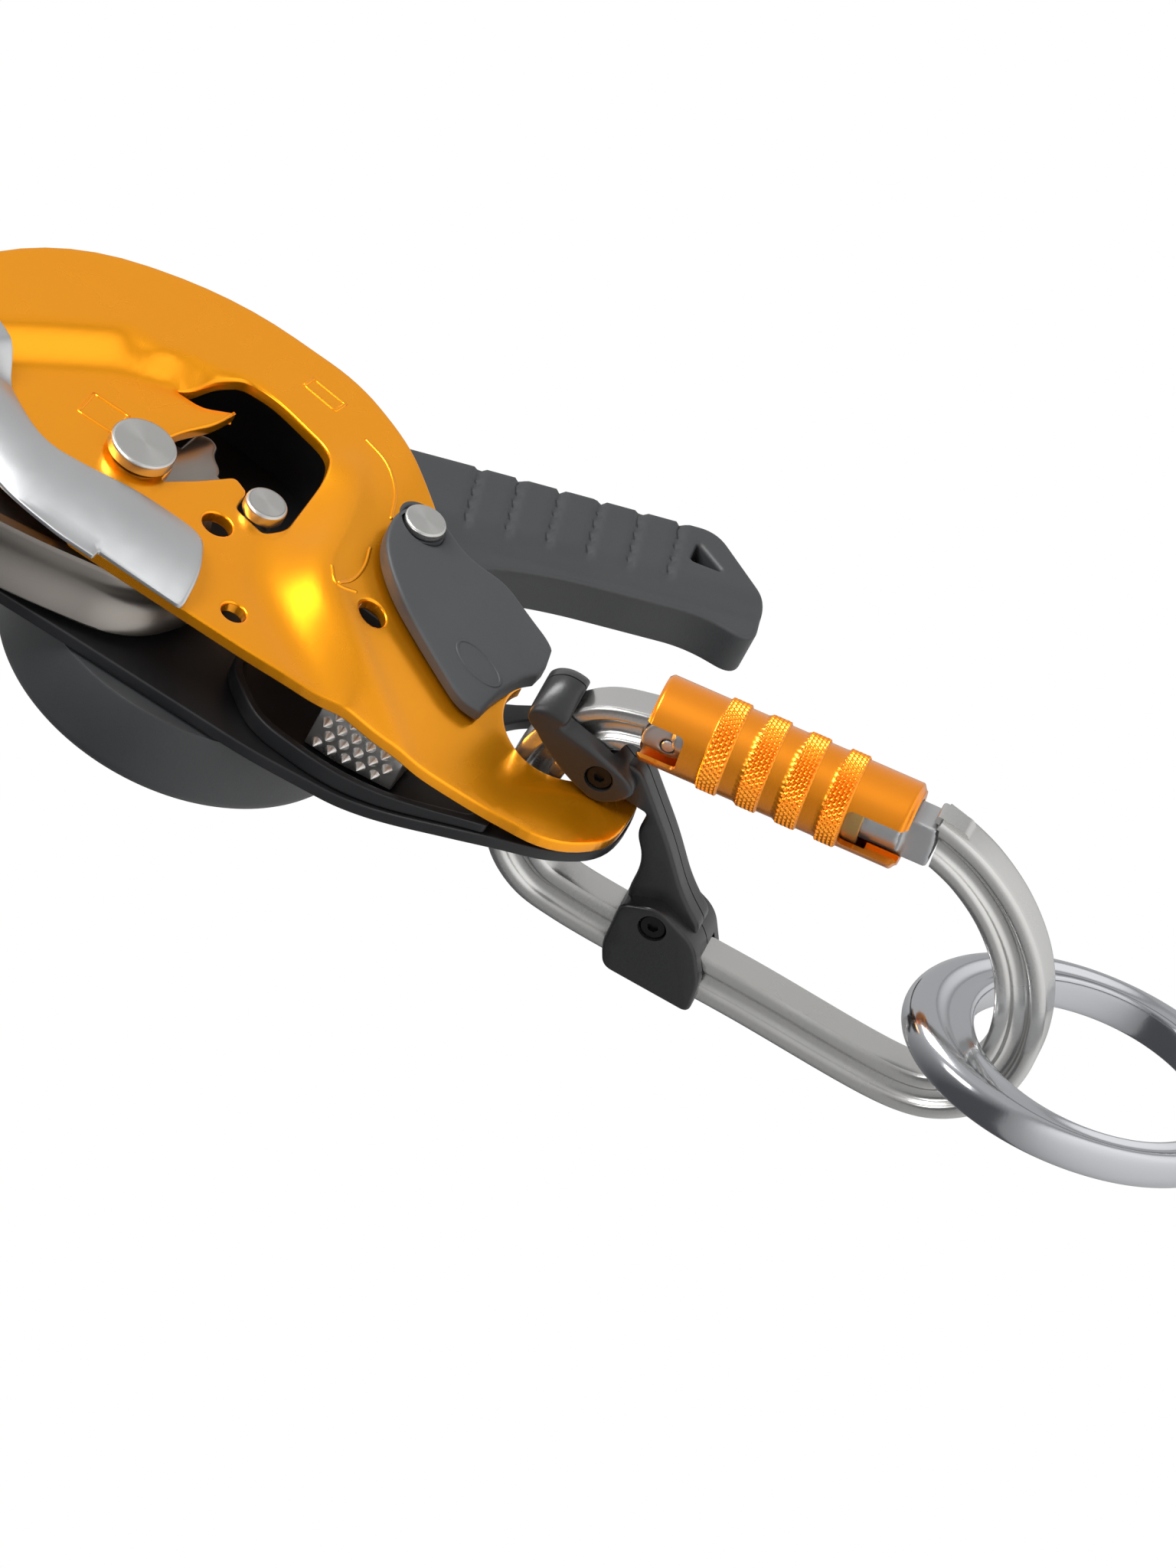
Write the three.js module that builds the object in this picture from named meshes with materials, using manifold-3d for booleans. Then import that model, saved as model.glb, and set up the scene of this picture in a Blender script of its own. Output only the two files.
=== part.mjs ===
// Self-braking rope grab with its hanging connector and end ring, in millimetres.
//
// Everything on the device is drawn in the device's own directions:
//   a  down the device, from the cam axle towards the connector
//   b  across the device, towards the handle
//   c  out of the front, from the middle of the gap between the two side plates
// The cam axle is at a = b = 0. The device group turns a to -Z, b to +X and c to -Y, so that the part hangs
// along -Z with its front to -Y.
import * as THREE from "three";
import { mergeVertices } from "three/addons/utils/BufferGeometryUtils.js";
import Module from "manifold-3d";

const wasm = await Module();
wasm.setup();

// ---------- driving dimensions ----------

const GAP = 0.3; // running clearance between neighbouring pieces
const SHEET = 2.85; // thickness of both side plates
const ROPE_GAP = 19; // between the flat stretches of the side plates
const INNER = ROPE_GAP / 2;
const LOW_TOP = INNER + SHEET; // front face of the front plate around the axles
const RAISED_TOP = 17.1; // front face of its pressed-out stretch
const TIP_TOP = 3.8; // front face at the connector hole, where the plates nearly meet
const TIP_INNER = TIP_TOP - SHEET;
const FRONT_SLOPE = [38, 98]; // where the raised stretch runs down to the tip, along a
const REAR_SLOPE = [66, 106]; // where the rear plate runs up to the tip, along a
const SIDE_WALL_TOP = 7; // the rear plate's wall on the handle side, which closes the rope channel

const CAM_AXLE = [0, 0];
const HANDLE_AXLE = [25.4, 6.5];
const GATE_RIVET = [52, 21];
const CATCH_PIN = [72, -9];
const HOOK = { at: [95.8, 9.55], radius: 11.7 }; // hole for the connector
const CONNECTOR_PIVOT = [95.8, 4];
const CONNECTOR_TILT = 6.5; // degrees that the connector hangs to the side
const HUB = { radius: 38.9, front: -(INNER + SHEET + 2 * GAP), rim: -28, back: -34 };
const GRIP = { front: -13.1, back: -27.1 };

const FOOT_LINE = [
  // where the pressed-out stretch starts to rise, from the top of the plate round to its left edge
  [-62, -30], [-45, -16], [-29, 2], [-17, 14], [-6, 23.5], [3, 26], [9, 29.5], [17, 29], [26, 19],
  [31, 4], [37, -9], [50, -20], [62, -28], [74, -38],
];

// ---------- materials ----------

const finish = (color, roughness, metalness) =>
  new THREE.MeshStandardMaterial({ color, roughness, metalness });

const GOLD = finish(0xf09600, 0.28, 0.6);
const BLACK = finish(0x17181a, 0.45, 0.3);
const SATIN_SILVER = finish(0xb4b6b8, 0.35, 0.9);
const NICKEL = finish(0x9a928a, 0.3, 0.95);
const TURNED = finish(0xc4c4c2, 0.25, 0.95);
const GREY_PLASTIC = finish(0x3a3c3f, 0.6, 0);
const STAINLESS = finish(0xc8c8c8, 0.3, 0.95);
const BRONZE = finish(0xa87b3c, 0.4, 0.85);
const SPRING_STEEL = finish(0x8c8c8c, 0.3, 0.95);
const GREY_ANODISED = finish(0x9a9a97, 0.35, 0.85);
const ORANGE = finish(0xf08c14, 0.3, 0.6);
const POLISHED = finish(0xc0c2c5, 0.15, 1);

// ---------- solids ----------

// A closed geometry as a solid, with its shared corners merged.
function solid(geometry) {
  const loose = geometry.index ? geometry.toNonIndexed() : geometry;
  const bare = new THREE.BufferGeometry().setAttribute("position", loose.getAttribute("position"));
  const merged = mergeVertices(bare, 1e-4);
  return new wasm.Manifold(
    new wasm.Mesh({
      numProp: 3,
      vertProperties: merged.attributes.position.array,
      triVerts: new Uint32Array(merged.index.array),
    }),
  );
}

function mesh(name, body, material) {
  const { vertProperties, triVerts } = body.getMesh();
  const geometry = new THREE.BufferGeometry()
    .setAttribute("position", new THREE.BufferAttribute(vertProperties, 3))
    .setIndex(new THREE.BufferAttribute(triVerts, 1));
  geometry.computeVertexNormals();
  const piece = new THREE.Mesh(geometry, material);
  piece.name = name;
  return piece;
}

const join = (first, ...others) => others.reduce((sum, other) => sum.add(other), first);
const cut = (first, ...others) => others.reduce((rest, other) => rest.subtract(other), first);

// A closed outline. Each corner [x, y, round] is rounded by a curve that starts and ends `round` away from it,
// or just short of the middle of a side that is too short for that.
function outline(corners) {
  const shape = new THREE.Shape();
  corners.forEach(([x, y, round = 0], i) => {
    const corner = new THREE.Vector2(x, y);
    const towards = ([nx, ny]) => {
      const side = new THREE.Vector2(nx, ny).sub(corner);
      return side.setLength(Math.min(round, 0.48 * side.length())).add(corner);
    };
    const start = towards(corners.at(i - 1));
    const end = towards(corners[(i + 1) % corners.length]);
    if (i === 0) shape.moveTo(start.x, start.y);
    else shape.lineTo(start.x, start.y);
    if (round > 0) shape.quadraticCurveTo(x, y, end.x, end.y);
  });
  return shape;
}

// An outline pushed out along c from low to high, with its edges chamfered by `bevel`.
function prism(shape, low, high, { bevel = 0, curveSegments = 3 } = {}) {
  const geometry = new THREE.ExtrudeGeometry(shape, {
    depth: high - low - 2 * bevel,
    bevelEnabled: bevel > 0,
    bevelThickness: bevel,
    bevelSize: bevel,
    bevelOffset: -bevel,
    bevelSegments: 1,
    curveSegments,
  });
  return solid(geometry.translate(0, 0, low + bevel));
}

// A cylinder along c.
function drum([a, b], low, high, radius, sides = 32) {
  const geometry = new THREE.CylinderGeometry(radius, radius, high - low, sides);
  return solid(geometry.rotateX(Math.PI / 2).translate(a, b, (low + high) / 2));
}

// A turned piece along c, from its profile of [radius, c] points, which starts and ends on the axis or closes.
function turned([a, b], profile, sides = 24) {
  const points = profile.map(([radius, c]) => new THREE.Vector2(radius, c));
  const geometry = new THREE.LatheGeometry(points, sides);
  const body = solid(geometry.rotateX(Math.PI / 2).translate(a, b, 0));
  if (body.volume() > 0) return body;
  return solid(new THREE.LatheGeometry(points.reverse(), sides).rotateX(Math.PI / 2).translate(a, b, 0));
}

const ring = ([a, b], low, high, outer, inner, sides = 24) =>
  cut(drum([a, b], low, high, outer, sides), drum([a, b], low - 1, high + 1, inner, sides));

// A sheet over a rectangle whose upper face follows top(a, b) and whose lower face follows bottom(a, b).
function sheet({ from, to, steps, top, bottom }) {
  const geometry = new THREE.BoxGeometry(to[0] - from[0], to[1] - from[1], 1, steps[0], steps[1], 1);
  geometry.translate((from[0] + to[0]) / 2, (from[1] + to[1]) / 2, 0);
  const place = geometry.attributes.position;
  for (let i = 0; i < place.count; i++) {
    const height = place.getZ(i) > 0 ? top : bottom;
    place.setZ(i, height(place.getX(i), place.getY(i)));
  }
  return solid(geometry);
}

// A wire or bar of one section along a curve.
function swept(curve, section, steps) {
  return solid(new THREE.ExtrudeGeometry(section, { steps, extrudePath: curve, bevelEnabled: false }));
}

function polygon(radius, sides) {
  const shape = new THREE.Shape();
  for (let i = 0; i < sides; i++) {
    const turn = (2 * Math.PI * i) / sides;
    shape[i ? "lineTo" : "moveTo"](radius * Math.cos(turn), radius * Math.sin(turn));
  }
  return shape;
}

// A coil spring along c. Its wire's middle runs from low to high.
function spring([a, b], low, high, radius, wire, turns) {
  class Helix extends THREE.Curve {
    getPoint(t, target = new THREE.Vector3()) {
      const turn = 2 * Math.PI * turns * t;
      return target.set(a + radius * Math.cos(turn), b + radius * Math.sin(turn), low + (high - low) * t);
    }
  }
  return swept(new Helix(), polygon(wire / 2, 5), Math.round(turns * 10));
}

// ---------- the pressed side plates ----------

const smooth = (t) => {
  const u = Math.min(1, Math.max(0, t));
  return u * u * (3 - 2 * u);
};
const mix = (x, y, t) => x + (y - x) * t;
const along = (a, [start, end]) => smooth((a - start) / (end - start));

const footPoints = new THREE.CatmullRomCurve3(FOOT_LINE.map(([a, b]) => new THREE.Vector3(a, b, 0)))
  .getPoints(90);

// How far a point is beyond the foot line, on the side that rises.
function beyondFoot(a, b) {
  let best = Infinity;
  let side = 1;
  for (let i = 1; i < footPoints.length; i++) {
    const p = footPoints[i - 1];
    const q = footPoints[i];
    const run = [q.x - p.x, q.y - p.y];
    const length = Math.hypot(...run);
    const t = Math.min(1, Math.max(0, ((a - p.x) * run[0] + (b - p.y) * run[1]) / length ** 2));
    const away = [a - p.x - t * run[0], b - p.y - t * run[1]];
    const distance = Math.hypot(...away);
    if (distance < best) {
      best = distance;
      side = Math.sign(run[0] * away[1] - run[1] * away[0]) || 1;
    }
  }
  return side * best;
}

// Front face of the front plate: flat round the axles, pressed out beyond the foot line, and down to the tip.
function frontTop(a, b) {
  const raised = mix(RAISED_TOP, TIP_TOP, along(a, FRONT_SLOPE));
  const rise = mix(4, 16, smooth((a - 24) / 26)); // the rise is steep at the top and long lower down
  return mix(Math.min(LOW_TOP, raised), raised, smooth(beyondFoot(a, b) / rise));
}
const rearInner = (a) => -mix(INNER, TIP_INNER, along(a, REAR_SLOPE));

const frontOutline = () =>
  outline([
    [-53, -27.6, 20], [-1.5, -27.6, 1.5], [0.5, -30.9, 1.2], [50, -30.6, 14], [74, -26.4, 8], [92, -20.8, 8],
    [108.5, -18.7, 7], [117.4, -8, 6], [116.6, 6, 5], [113.5, 13, 5], [109, 20.2, 3], [104.4, 17.4], [98, 12], [86, 12], [84, 14.8, 1.5], [70, 16.5, 8],
    [50, 33.5, 6], [38.5, 43.2, 7], [24, 50.2, 7], [-6, 51.5, 16], [-38, 38, 18], [-56, 6, 18],
  ]);

// The opening in the front plate over the cam, with the pointed beak that the rope runs under.
const windowOutline = () =>
  outline([
    [8.9, 27.4, 0.4], [7.4, 21, 3], [3.4, 13.5, 3], [1.8, 8.6, 1], [6.7, 3, 1], [6.7, -2.2, 1],
    [12, 4, 2], [17, 11, 1.5], [20.6, 9.1, 1], [21.2, 3.2, 1], [28, 1.4, 1], [31.4, 5, 1.5],
    [31.1, 21, 4], [28.5, 27.4, 4], [13.5, 31.8, 4], [7, 31.6, 2], [-2.8, 22.9, 0.8], [3, 23, 2],
  ]);

function sidePlate() {
  const pressed = sheet({
    from: [-56, -33],
    to: [120, 54],
    steps: [32, 15],
    top: frontTop,
    bottom: (a, b) => frontTop(a, b) - SHEET,
  });
  const blank = prism(frontOutline(), -2, 24);
  const small = [
    [[20.4, -3.9], 3.1],
    [[34, -23.2], 2.55],
    [[54.8, -3.4], 3],
  ].map(([at, radius]) => drum(at, -2, 24, radius, 20));
  const rivetHoles = BRAKE_RIVETS.map((at) => drum(at, -2, 24, BRAKE_RIVET_RADIUS + GAP, 16));
  return cut(
    pressed.intersect(blank),
    prism(windowOutline(), -2, 24),
    drum(CAM_AXLE, -2, 24, CAM_AXLE_RADIUS + GAP, 24),
    drum(GATE_RIVET, -2, 24, GATE_SHANK + GAP, 16),
    drum(HOOK.at, -4, 24, HOOK.radius, 36),
    ...small,
    ...rivetHoles,
  );
}

function fixedPlate() {
  const face = sheet({
    from: [-54, -34],
    to: [119, 52],
    steps: [24, 1],
    top: rearInner,
    bottom: (a) => rearInner(a) - SHEET,
  });
  const blank = prism(
    outline([
      [-51, -32, 18], [11, -29.6, 5], [50, -28.6, 5], [66, -26.4, 5], [80, -24.2, 5], [96, -21, 6],
      [107, -16.5, 5], [116.5, -7, 7], [117.5, 5, 8], [112, 24, 9], [97, 30.5, 8], [80, 19, 8], [62, 20, 8], [44, 34.5, 8],
      [23, 48.5, 8], [-6, 50, 16], [-37, 37, 18], [-54, 6, 18],
    ]),
    -20,
    2,
  );
  const wall = prism(
    outline([
      [-34, 37.5, 1], [-6, 48.6, 14], [23, 47, 8], [42, 34.8, 0.6], [40.6, 32.8, 0.6], [22, 44.4, 7], [-6, 46, 13],
      [-33, 35.3, 1],
    ]),
    -INNER - 1,
    SIDE_WALL_TOP,
  );
  return cut(
    join(face.intersect(blank), wall),
    drum(CAM_AXLE, -20, 2, CAM_AXLE_RADIUS + GAP, 24),
    drum(HANDLE_AXLE, -20, 2, STUD_RADIUS + GAP, 24),
    drum(CATCH_PIN, -20, 2, CATCH_PIN_RADIUS + GAP, 16),
    drum(HOOK.at, -20, 2, HOOK.radius, 36),
  );
}

// ---------- axles and the pieces between the plates ----------

const CAM_AXLE_RADIUS = 3.4;
const STUD_RADIUS = 2.9;
const CATCH_PIN_RADIUS = 1.8;
const GATE_SHANK = 2.4;
const REAR_FLUSH = -(INNER + SHEET) + GAP / 2; // rear end of an axle that stays inside the rear plate
const CAM_HALF = 7.5; // half of the cam's width
const BUSH_WALL = 1.4;

// A stud with a broad turned head on the front plate.
function stud(at, radius, headRadius, headTop) {
  const chamfer = 0.5;
  return turned(at, [
    [0, REAR_FLUSH],
    [radius, REAR_FLUSH],
    [radius, LOW_TOP + GAP],
    [headRadius, LOW_TOP + GAP],
    [headRadius, headTop - chamfer],
    [headRadius - chamfer, headTop],
    [0, headTop],
  ]);
}

// The cam: a broad block with a hollow wall that the rope runs round, a sunk front face inside a rim, and a thumb that
// reaches into the window.
const CAM_MIDDLE = [-2, -10];
const camOutline = () =>
  outline([
    [27.5, -7, 9], [19, -25.5, 10], [-6, -32.4, 8], [-25, -35.6, 7], [-30, -22, 9], [-22, -4, 9], [-10, 12, 9],
    [8, 17, 9], [24, 10, 8],
  ]);
function camLayer(low, high, scale) {
  const options = { depth: high - low, steps: Math.ceil((high - low) / 2), bevelEnabled: false, curveSegments: 4 };
  const geometry = new THREE.ExtrudeGeometry(camOutline(), options).translate(-CAM_MIDDLE[0], -CAM_MIDDLE[1], low);
  const place = geometry.attributes.position;
  for (let i = 0; i < place.count; i++) {
    const size = scale(place.getZ(i));
    place.setXY(i, place.getX(i) * size, place.getY(i) * size);
  }
  return solid(geometry.translate(...CAM_MIDDLE, 0));
}

function cam() {
  const bore = CAM_AXLE_RADIUS + GAP + BUSH_WALL + GAP;
  const hollow = (c) => 1 - 0.085 * Math.sin(Math.PI * smooth((c + CAM_HALF - 0.8) / (2 * CAM_HALF - 2)));
  const block = camLayer(-CAM_HALF, CAM_HALF, hollow);
  const sunk = camLayer(CAM_HALF - 1.8, CAM_HALF + 1, () => 0.88);
  const boss = drum(CAM_AXLE, -CAM_HALF, CAM_HALF, 9, 32);
  const thumb = prism(
    outline([
      [-3, -3, 2], [12, -2, 3], [13.5, 10, 4], [13.4, 16, 1.5], [10.2, 19, 1.5], [9.6, 22, 1],
      [7.4, 23, 1], [4.6, 22, 1], [3.6, 10, 4],
    ]),
    -CAM_HALF,
    CAM_HALF,
  );
  const studRoom = prism(outline([[19, 1, 2], [23, -5, 1], [32, -2], [32, 30], [14, 30], [15.5, 12, 2]]), -9, 9);
  return cut(join(cut(block, sunk, studRoom), boss, thumb), drum(CAM_AXLE, -9, 9, bore, 24));
}

const camBush = () =>
  ring(CAM_AXLE, -CAM_HALF, CAM_HALF, CAM_AXLE_RADIUS + GAP + BUSH_WALL, CAM_AXLE_RADIUS + GAP, 24);

// A torsion wire that lies flat behind the cam, with one leg out to the side.
function camSpring() {
  const [c, radius, wire] = [-8.55, 8, 1.1];
  const turn = (degrees) => [
    radius * Math.cos(THREE.MathUtils.degToRad(degrees)),
    radius * Math.sin(THREE.MathUtils.degToRad(degrees)),
  ];
  const bends = [-60, 0, 60, 120, 180, 230].map(turn);
  const route = [[14, -17], ...bends].map(([a, b]) => new THREE.Vector3(a, b, c));
  return swept(new THREE.CatmullRomCurve3(route), polygon(wire / 2, 5), 22);
}

const frictionWedge = () =>
  prism(
    outline([[40, 8, 2], [58, 6, 2], [60, 15, 3], [48, 31, 4], [39, 29, 3]]),
    -INNER + GAP,
    INNER - 3,
  );

// The rim that closes the rope channel's lower pocket, standing on the rear plate.
function pocketRim() {
  const height = 4;
  const band = sheet({
    from: [34, -28],
    to: [100, 0],
    steps: [16, 1],
    top: (a) => rearInner(a) + GAP + height * (1 - 0.5 * along(a, [60, 98])),
    bottom: (a) => rearInner(a) + GAP,
  });
  const outer = outline([
    [36.4, -6, 1], [36.8, -15, 4], [47, -25, 6], [62, -26, 4], [78, -23.8, 3], [96, -20.4, 1], [95, -13, 1],
    [93, -13.4, 0.5], [92, -18.8, 1.5], [78, -22, 3], [62, -24.2, 3], [48, -23.2, 5], [38.6, -14.5, 4], [38, -6, 0.4],
  ]);
  return band.intersect(prism(outer, -12, 2));
}

// The sprung catch that bites the rope when the device is threaded the wrong way.
const CATCH = { from: 57, to: 76, face: -18.6, back: -4.5 };
function toothedCatch() {
  const profile = outline([[57, -9], [64, -9], [76, -7.4], [76, 4.2], [57, 7.6]]);
  const block = new THREE.ExtrudeGeometry(profile, { depth: CATCH.back - CATCH.face, bevelEnabled: false });
  block.rotateX(Math.PI / 2).translate(0, CATCH.back, 0);
  const [pitch, radius, height, sink] = [3.2, 1.15, 1.7, 0.3];
  const teeth = [];
  for (let row = 0; row < 4; row++)
    for (let column = 0; column < 5; column++) {
      const a = CATCH.from + 2.2 + (column + (row % 2) / 2) * pitch;
      const c = -7.3 + row * pitch * 0.87 + (column + (row % 2) / 2) * 0.27;
      const tooth = new THREE.ConeGeometry(radius, height + sink, 8);
      teeth.push(solid(tooth.rotateX(Math.PI).translate(a, CATCH.face + sink - (height + sink) / 2, c)));
    }
  const relief = prism(outline([[50, 2], [50, -12], [62, -4.4], [66, 2]]), -12, 12);
  return cut(join(solid(block), ...teeth), drum(CATCH_PIN, -12, 12, CATCH_PIN_RADIUS + GAP, 16), relief);
}

const catchPin = () => turned(CATCH_PIN, [[0, -11], [CATCH_PIN_RADIUS, -11], [CATCH_PIN_RADIUS, 5.2], [0, 5.2]], 16);

// ---------- on the front plate ----------

const BRAKE_RIVETS = [[-22, -20], [10, -22]];
const BRAKE_RIVET_RADIUS = 1.8;
const BRAKE_THICKNESS = 4.2;

// The convex auxiliary brake that lies along the front plate's left edge.
function auxiliaryBrake() {
  const reach = 4;
  const under = (a, b) =>
    1.3 * GAP + Math.max(frontTop(a, b), frontTop(a - reach, b), frontTop(a, b + reach), frontTop(a - reach, b + reach));
  const crown = (a, b) => {
    const middle = mix(-21, -9, smooth((-10 - a) / 40));
    return BRAKE_THICKNESS - 0.026 * (b - middle) ** 2;
  };
  const shell = sheet({
    from: [-56, -36],
    to: [28, 12],
    steps: [13, 8],
    top: (a, b) => under(a, b) + Math.max(1.1, crown(a, b)),
    bottom: under,
  });
  const blank = outline([
    [26.2, -32.2, 1.5], [25.2, -24.4, 4], [20, -11.6, 5], [6, -10.6, 6], [-4, -14.6, 7], [-15, -16.4, 6],
    [-25, -8, 7], [-32, 2, 7], [-46, 8, 3], [-52, -12, 6], [-36, -24.4, 8], [-12, -32.4, 6], [-1, -34, 2],
    [6.8, -34, 0.4], [6.9, -31.8, 0.4],
  ]);
  const sockets = BRAKE_RIVETS.map((at) => drum(at, 0, LOW_TOP + 2, BRAKE_RIVET_RADIUS + GAP, 16));
  return cut(shell.intersect(prism(blank, 8, 26)), ...sockets);
}

const brakeRivet = (at) =>
  turned(at, [[0, 8], [3, 8], [3, 9.1], [BRAKE_RIVET_RADIUS, 9.1], [BRAKE_RIVET_RADIUS, 13.8], [0, 13.8]], 16);

const GATE = { thickness: 4.7, opening: 25, reach: 88.3 };

// The thumb gate that closes the hook. Its underside clears the sloping plate at every angle it opens to.
function gateCap() {
  const clear = (a, b) => {
    let highest = -Infinity;
    for (let degrees = 0; degrees <= GATE.opening; degrees += 5) {
      const turn = THREE.MathUtils.degToRad(degrees);
      const [x, y] = [a - GATE_RIVET[0], b - GATE_RIVET[1]];
      const moved = [x * Math.cos(turn) - y * Math.sin(turn), x * Math.sin(turn) + y * Math.cos(turn)];
      highest = Math.max(highest, frontTop(GATE_RIVET[0] + moved[0], GATE_RIVET[1] + moved[1]));
    }
    return highest + 2 * GAP;
  };
  const top = (a, b) => frontTop(a, 21) + GAP + GATE.thickness - 0.004 * (b - 11) ** 2;
  const body = sheet({ from: [44, -8], to: [92, 30], steps: [11, 8], top, bottom: clear });
  const blank = outline([
    [46.2, 19, 6], [50, 27.6, 5], [62.5, 24.4, 4], [70.9, 27.8, 3], [84.5, 24.4, 3], [89, 18.6, 0.5],
    [84.6, 12, 3], [82.8, 3, 4], [82.4, -4.2, 1], [78, -5.7, 3], [66, -2, 6], [55.5, 2, 6], [48.2, 9, 5],
  ]);
  const headTop = top(...GATE_RIVET);
  return cut(
    body.intersect(prism(blank, 2, 26)).intersect(drum(CAM_AXLE, 0, 30, GATE.reach, 120)),
    drum(GATE_RIVET, 2, 30, GATE_SHANK + GAP, 16),
    drum(GATE_RIVET, headTop - 1.4, 30, GATE_HEAD + GAP, 28),
  );
}

const GATE_HEAD = 4.3;
const gateRivet = () =>
  turned(GATE_RIVET, [
    [0, 9.6], [4, 9.6], [4, 10.8], [GATE_SHANK, 10.8], [GATE_SHANK, 19.7], [GATE_HEAD, 19.7],
    [GATE_HEAD, 20.8], [GATE_HEAD - 0.4, 21.2], [0, 21.2],
  ], 20);

const gateSpring = () => spring(GATE_RIVET, 9.6, 10.2, 4.9, 0.9, 0.9);

// ---------- handle, behind the rear plate ----------

const AXLE = { radius: 4.6, flange: 8, front: -(INNER + SHEET + GAP) };
const BACK_POCKET = { radius: 13.2, floor: -24.5 };

function handleShell() {
  const hub = turned(HANDLE_AXLE, [
    [AXLE.radius + GAP, HUB.front - 2.2], [10, HUB.front - 2.2], [10, HUB.front], [HUB.radius, HUB.front],
    [HUB.radius, HUB.rim], [37.6, -31], [34.5, -33.2], [29, HUB.back], [BACK_POCKET.radius, HUB.back],
    [BACK_POCKET.radius, BACK_POCKET.floor], [AXLE.radius + GAP, BACK_POCKET.floor],
    [AXLE.radius + GAP, HUB.front - 2.2],
  ], 40);
  const springPocket = ring(HANDLE_AXLE, -20, HUB.front + 1, 22, 13, 32);
  const lever = prism(
    outline([
      [-8, 22, 6], [0, 52, 10], [16, 69, 10], [40, 82.6, 8], [92, 110.5, 4], [108.5, 100.6, 4],
      [111.8, 89, 5], [100, 88, 5], [72, 72.5, 10], [57, 60, 14], [52, 20, 8],
    ]),
    GRIP.back,
    GRIP.front,
    { bevel: 2.6 },
  );
  const stringHole = prism(outline([[91, 103.6, 1], [97.6, 100.4, 1], [91.6, 98.6, 1]]), -30, -10);
  const body = join(hub, cut(lever, drum(HANDLE_AXLE, -30, -10, HUB.radius - 1, 40)));
  return cut(body, springPocket, stringHole);
}

const handleAxle = () =>
  turned(HANDLE_AXLE, [
    [0, AXLE.front], [AXLE.flange, AXLE.front], [AXLE.flange, AXLE.front - 1.8],
    [AXLE.radius, AXLE.front - 1.8], [AXLE.radius, -25], [0, -25],
  ], 20);

const handleWasher = () => ring(HANDLE_AXLE, -26.6, -25.3, 9.5, 2.3, 20);

function handleBolt() {
  const head = drum(HANDLE_AXLE, -29.6, -26.9, 4.4, 6);
  return head.add(drum(HANDLE_AXLE, -27, -25.35, 2, 16));
}

const handleSpring = () => spring(HANDLE_AXLE, -18.6, -14.6, 17.5, 1.8, 2.2);

const HUB_CAP = { radius: BACK_POCKET.radius - GAP, low: -34.6, high: -32 };
function hubCap() {
  const plate = ring(HANDLE_AXLE, HUB_CAP.low, HUB_CAP.high, HUB_CAP.radius, BUTTON.radius + GAP, 28);
  return cut(plate, ...capScrewPlaces().map((at) => drum(at, -36, HUB_CAP.high + 1, CAP_SCREW.radius + GAP, 12)));
}

const BUTTON = { radius: 6.6, low: -36.4, high: -31 };
const releaseButton = () =>
  turned(HANDLE_AXLE, [
    [0, BUTTON.low], [BUTTON.radius - 0.8, BUTTON.low], [BUTTON.radius, BUTTON.low + 0.8],
    [BUTTON.radius, BUTTON.high], [5.2, BUTTON.high], [5.2, -34], [0, -34],
  ], 20);

const CAP_SCREW = { radius: 1.1, circle: 9.9 };
const capScrewPlaces = () =>
  [90, 210, 330].map((degrees) => {
    const turn = THREE.MathUtils.degToRad(degrees);
    return [
      HANDLE_AXLE[0] + CAP_SCREW.circle * Math.cos(turn),
      HANDLE_AXLE[1] + CAP_SCREW.circle * Math.sin(turn),
    ];
  });
const capScrew = (at) => drum(at, -34.4, -30, CAP_SCREW.radius, 12);

// ---------- connector, drawn in its own plane: x along it, y out of the device's front, z across it ----------

const BAR = { width: 10.4, thickness: 8 };
const BODY_ROUTE = [
  [19, 22.6], [14.4, 21.3], [8, 18.4], [3.2, 12.6], [0.5, 5.5], [-0.1, -3], [0.4, -11], [3.2, -18.2], [9.2, -22.9],
  [17, -24.3], [55, -24.4], [91, -24.4], [98, -21.6], [103.8, -15], [105.8, -6], [104.4, 4.4],
  [99.4, 15.4], [91.6, 24.2], [83, 29.8], [76.4, 32.2], [71.6, 33.2],
];
const BODY_STEPS = 38;
const GATE_HINGE = [20, 22.6];
const GATE_AXIS = { from: [17.9, 24.4], to: [67, 30.7] };
const GATE_LINE = new THREE.Vector2(...GATE_AXIS.to).sub(new THREE.Vector2(...GATE_AXIS.from));
const GATE_ANGLE = GATE_LINE.angle();
const SLEEVE = { radius: 9.45, neck: 8.9, bore: 6.1, mouth: 7.9, from: -3.4, to: GATE_LINE.length() + 1.2 };
const SLEEVE_BANDS = { first: 9.4, pitch: 8.2, width: 4.5 };
const SLEEVE_SLOTS = { half: 3.5, hingeEnd: 8.3, noseEnd: 12 };
const GATE_REACH = 54.2; // from the hinge to the end of the gate

const bodyCurve = () =>
  new THREE.CatmullRomCurve3(BODY_ROUTE.map(([x, y]) => new THREE.Vector3(x, y, 0)), false, "centripetal");

// The bar's section, across the connector first: an I with a groove down each flank.
function barSection() {
  const [t, w] = [BAR.thickness / 2, BAR.width / 2];
  const side = [
    [t - 1.1, -w], [t, -w + 1.3], [t, -w + 3], [t - 1.5, -w + 4], [t - 1.5, w - 4], [t, w - 3], [t, w - 1.3], [t - 1.1, w],
  ];
  const other = side.map(([x, y]) => [-x, -y]);
  return outline([...side, ...other]);
}

// Places a piece drawn along its own c axis, from c = 0, along the gate's axis.
const alongGate = (body, start = GATE_AXIS.from) => {
  const turn = THREE.MathUtils.radToDeg(GATE_ANGLE);
  return body.rotate([0, 90, 0]).rotate([0, 0, turn]).translate([...start, 0]);
};

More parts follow.
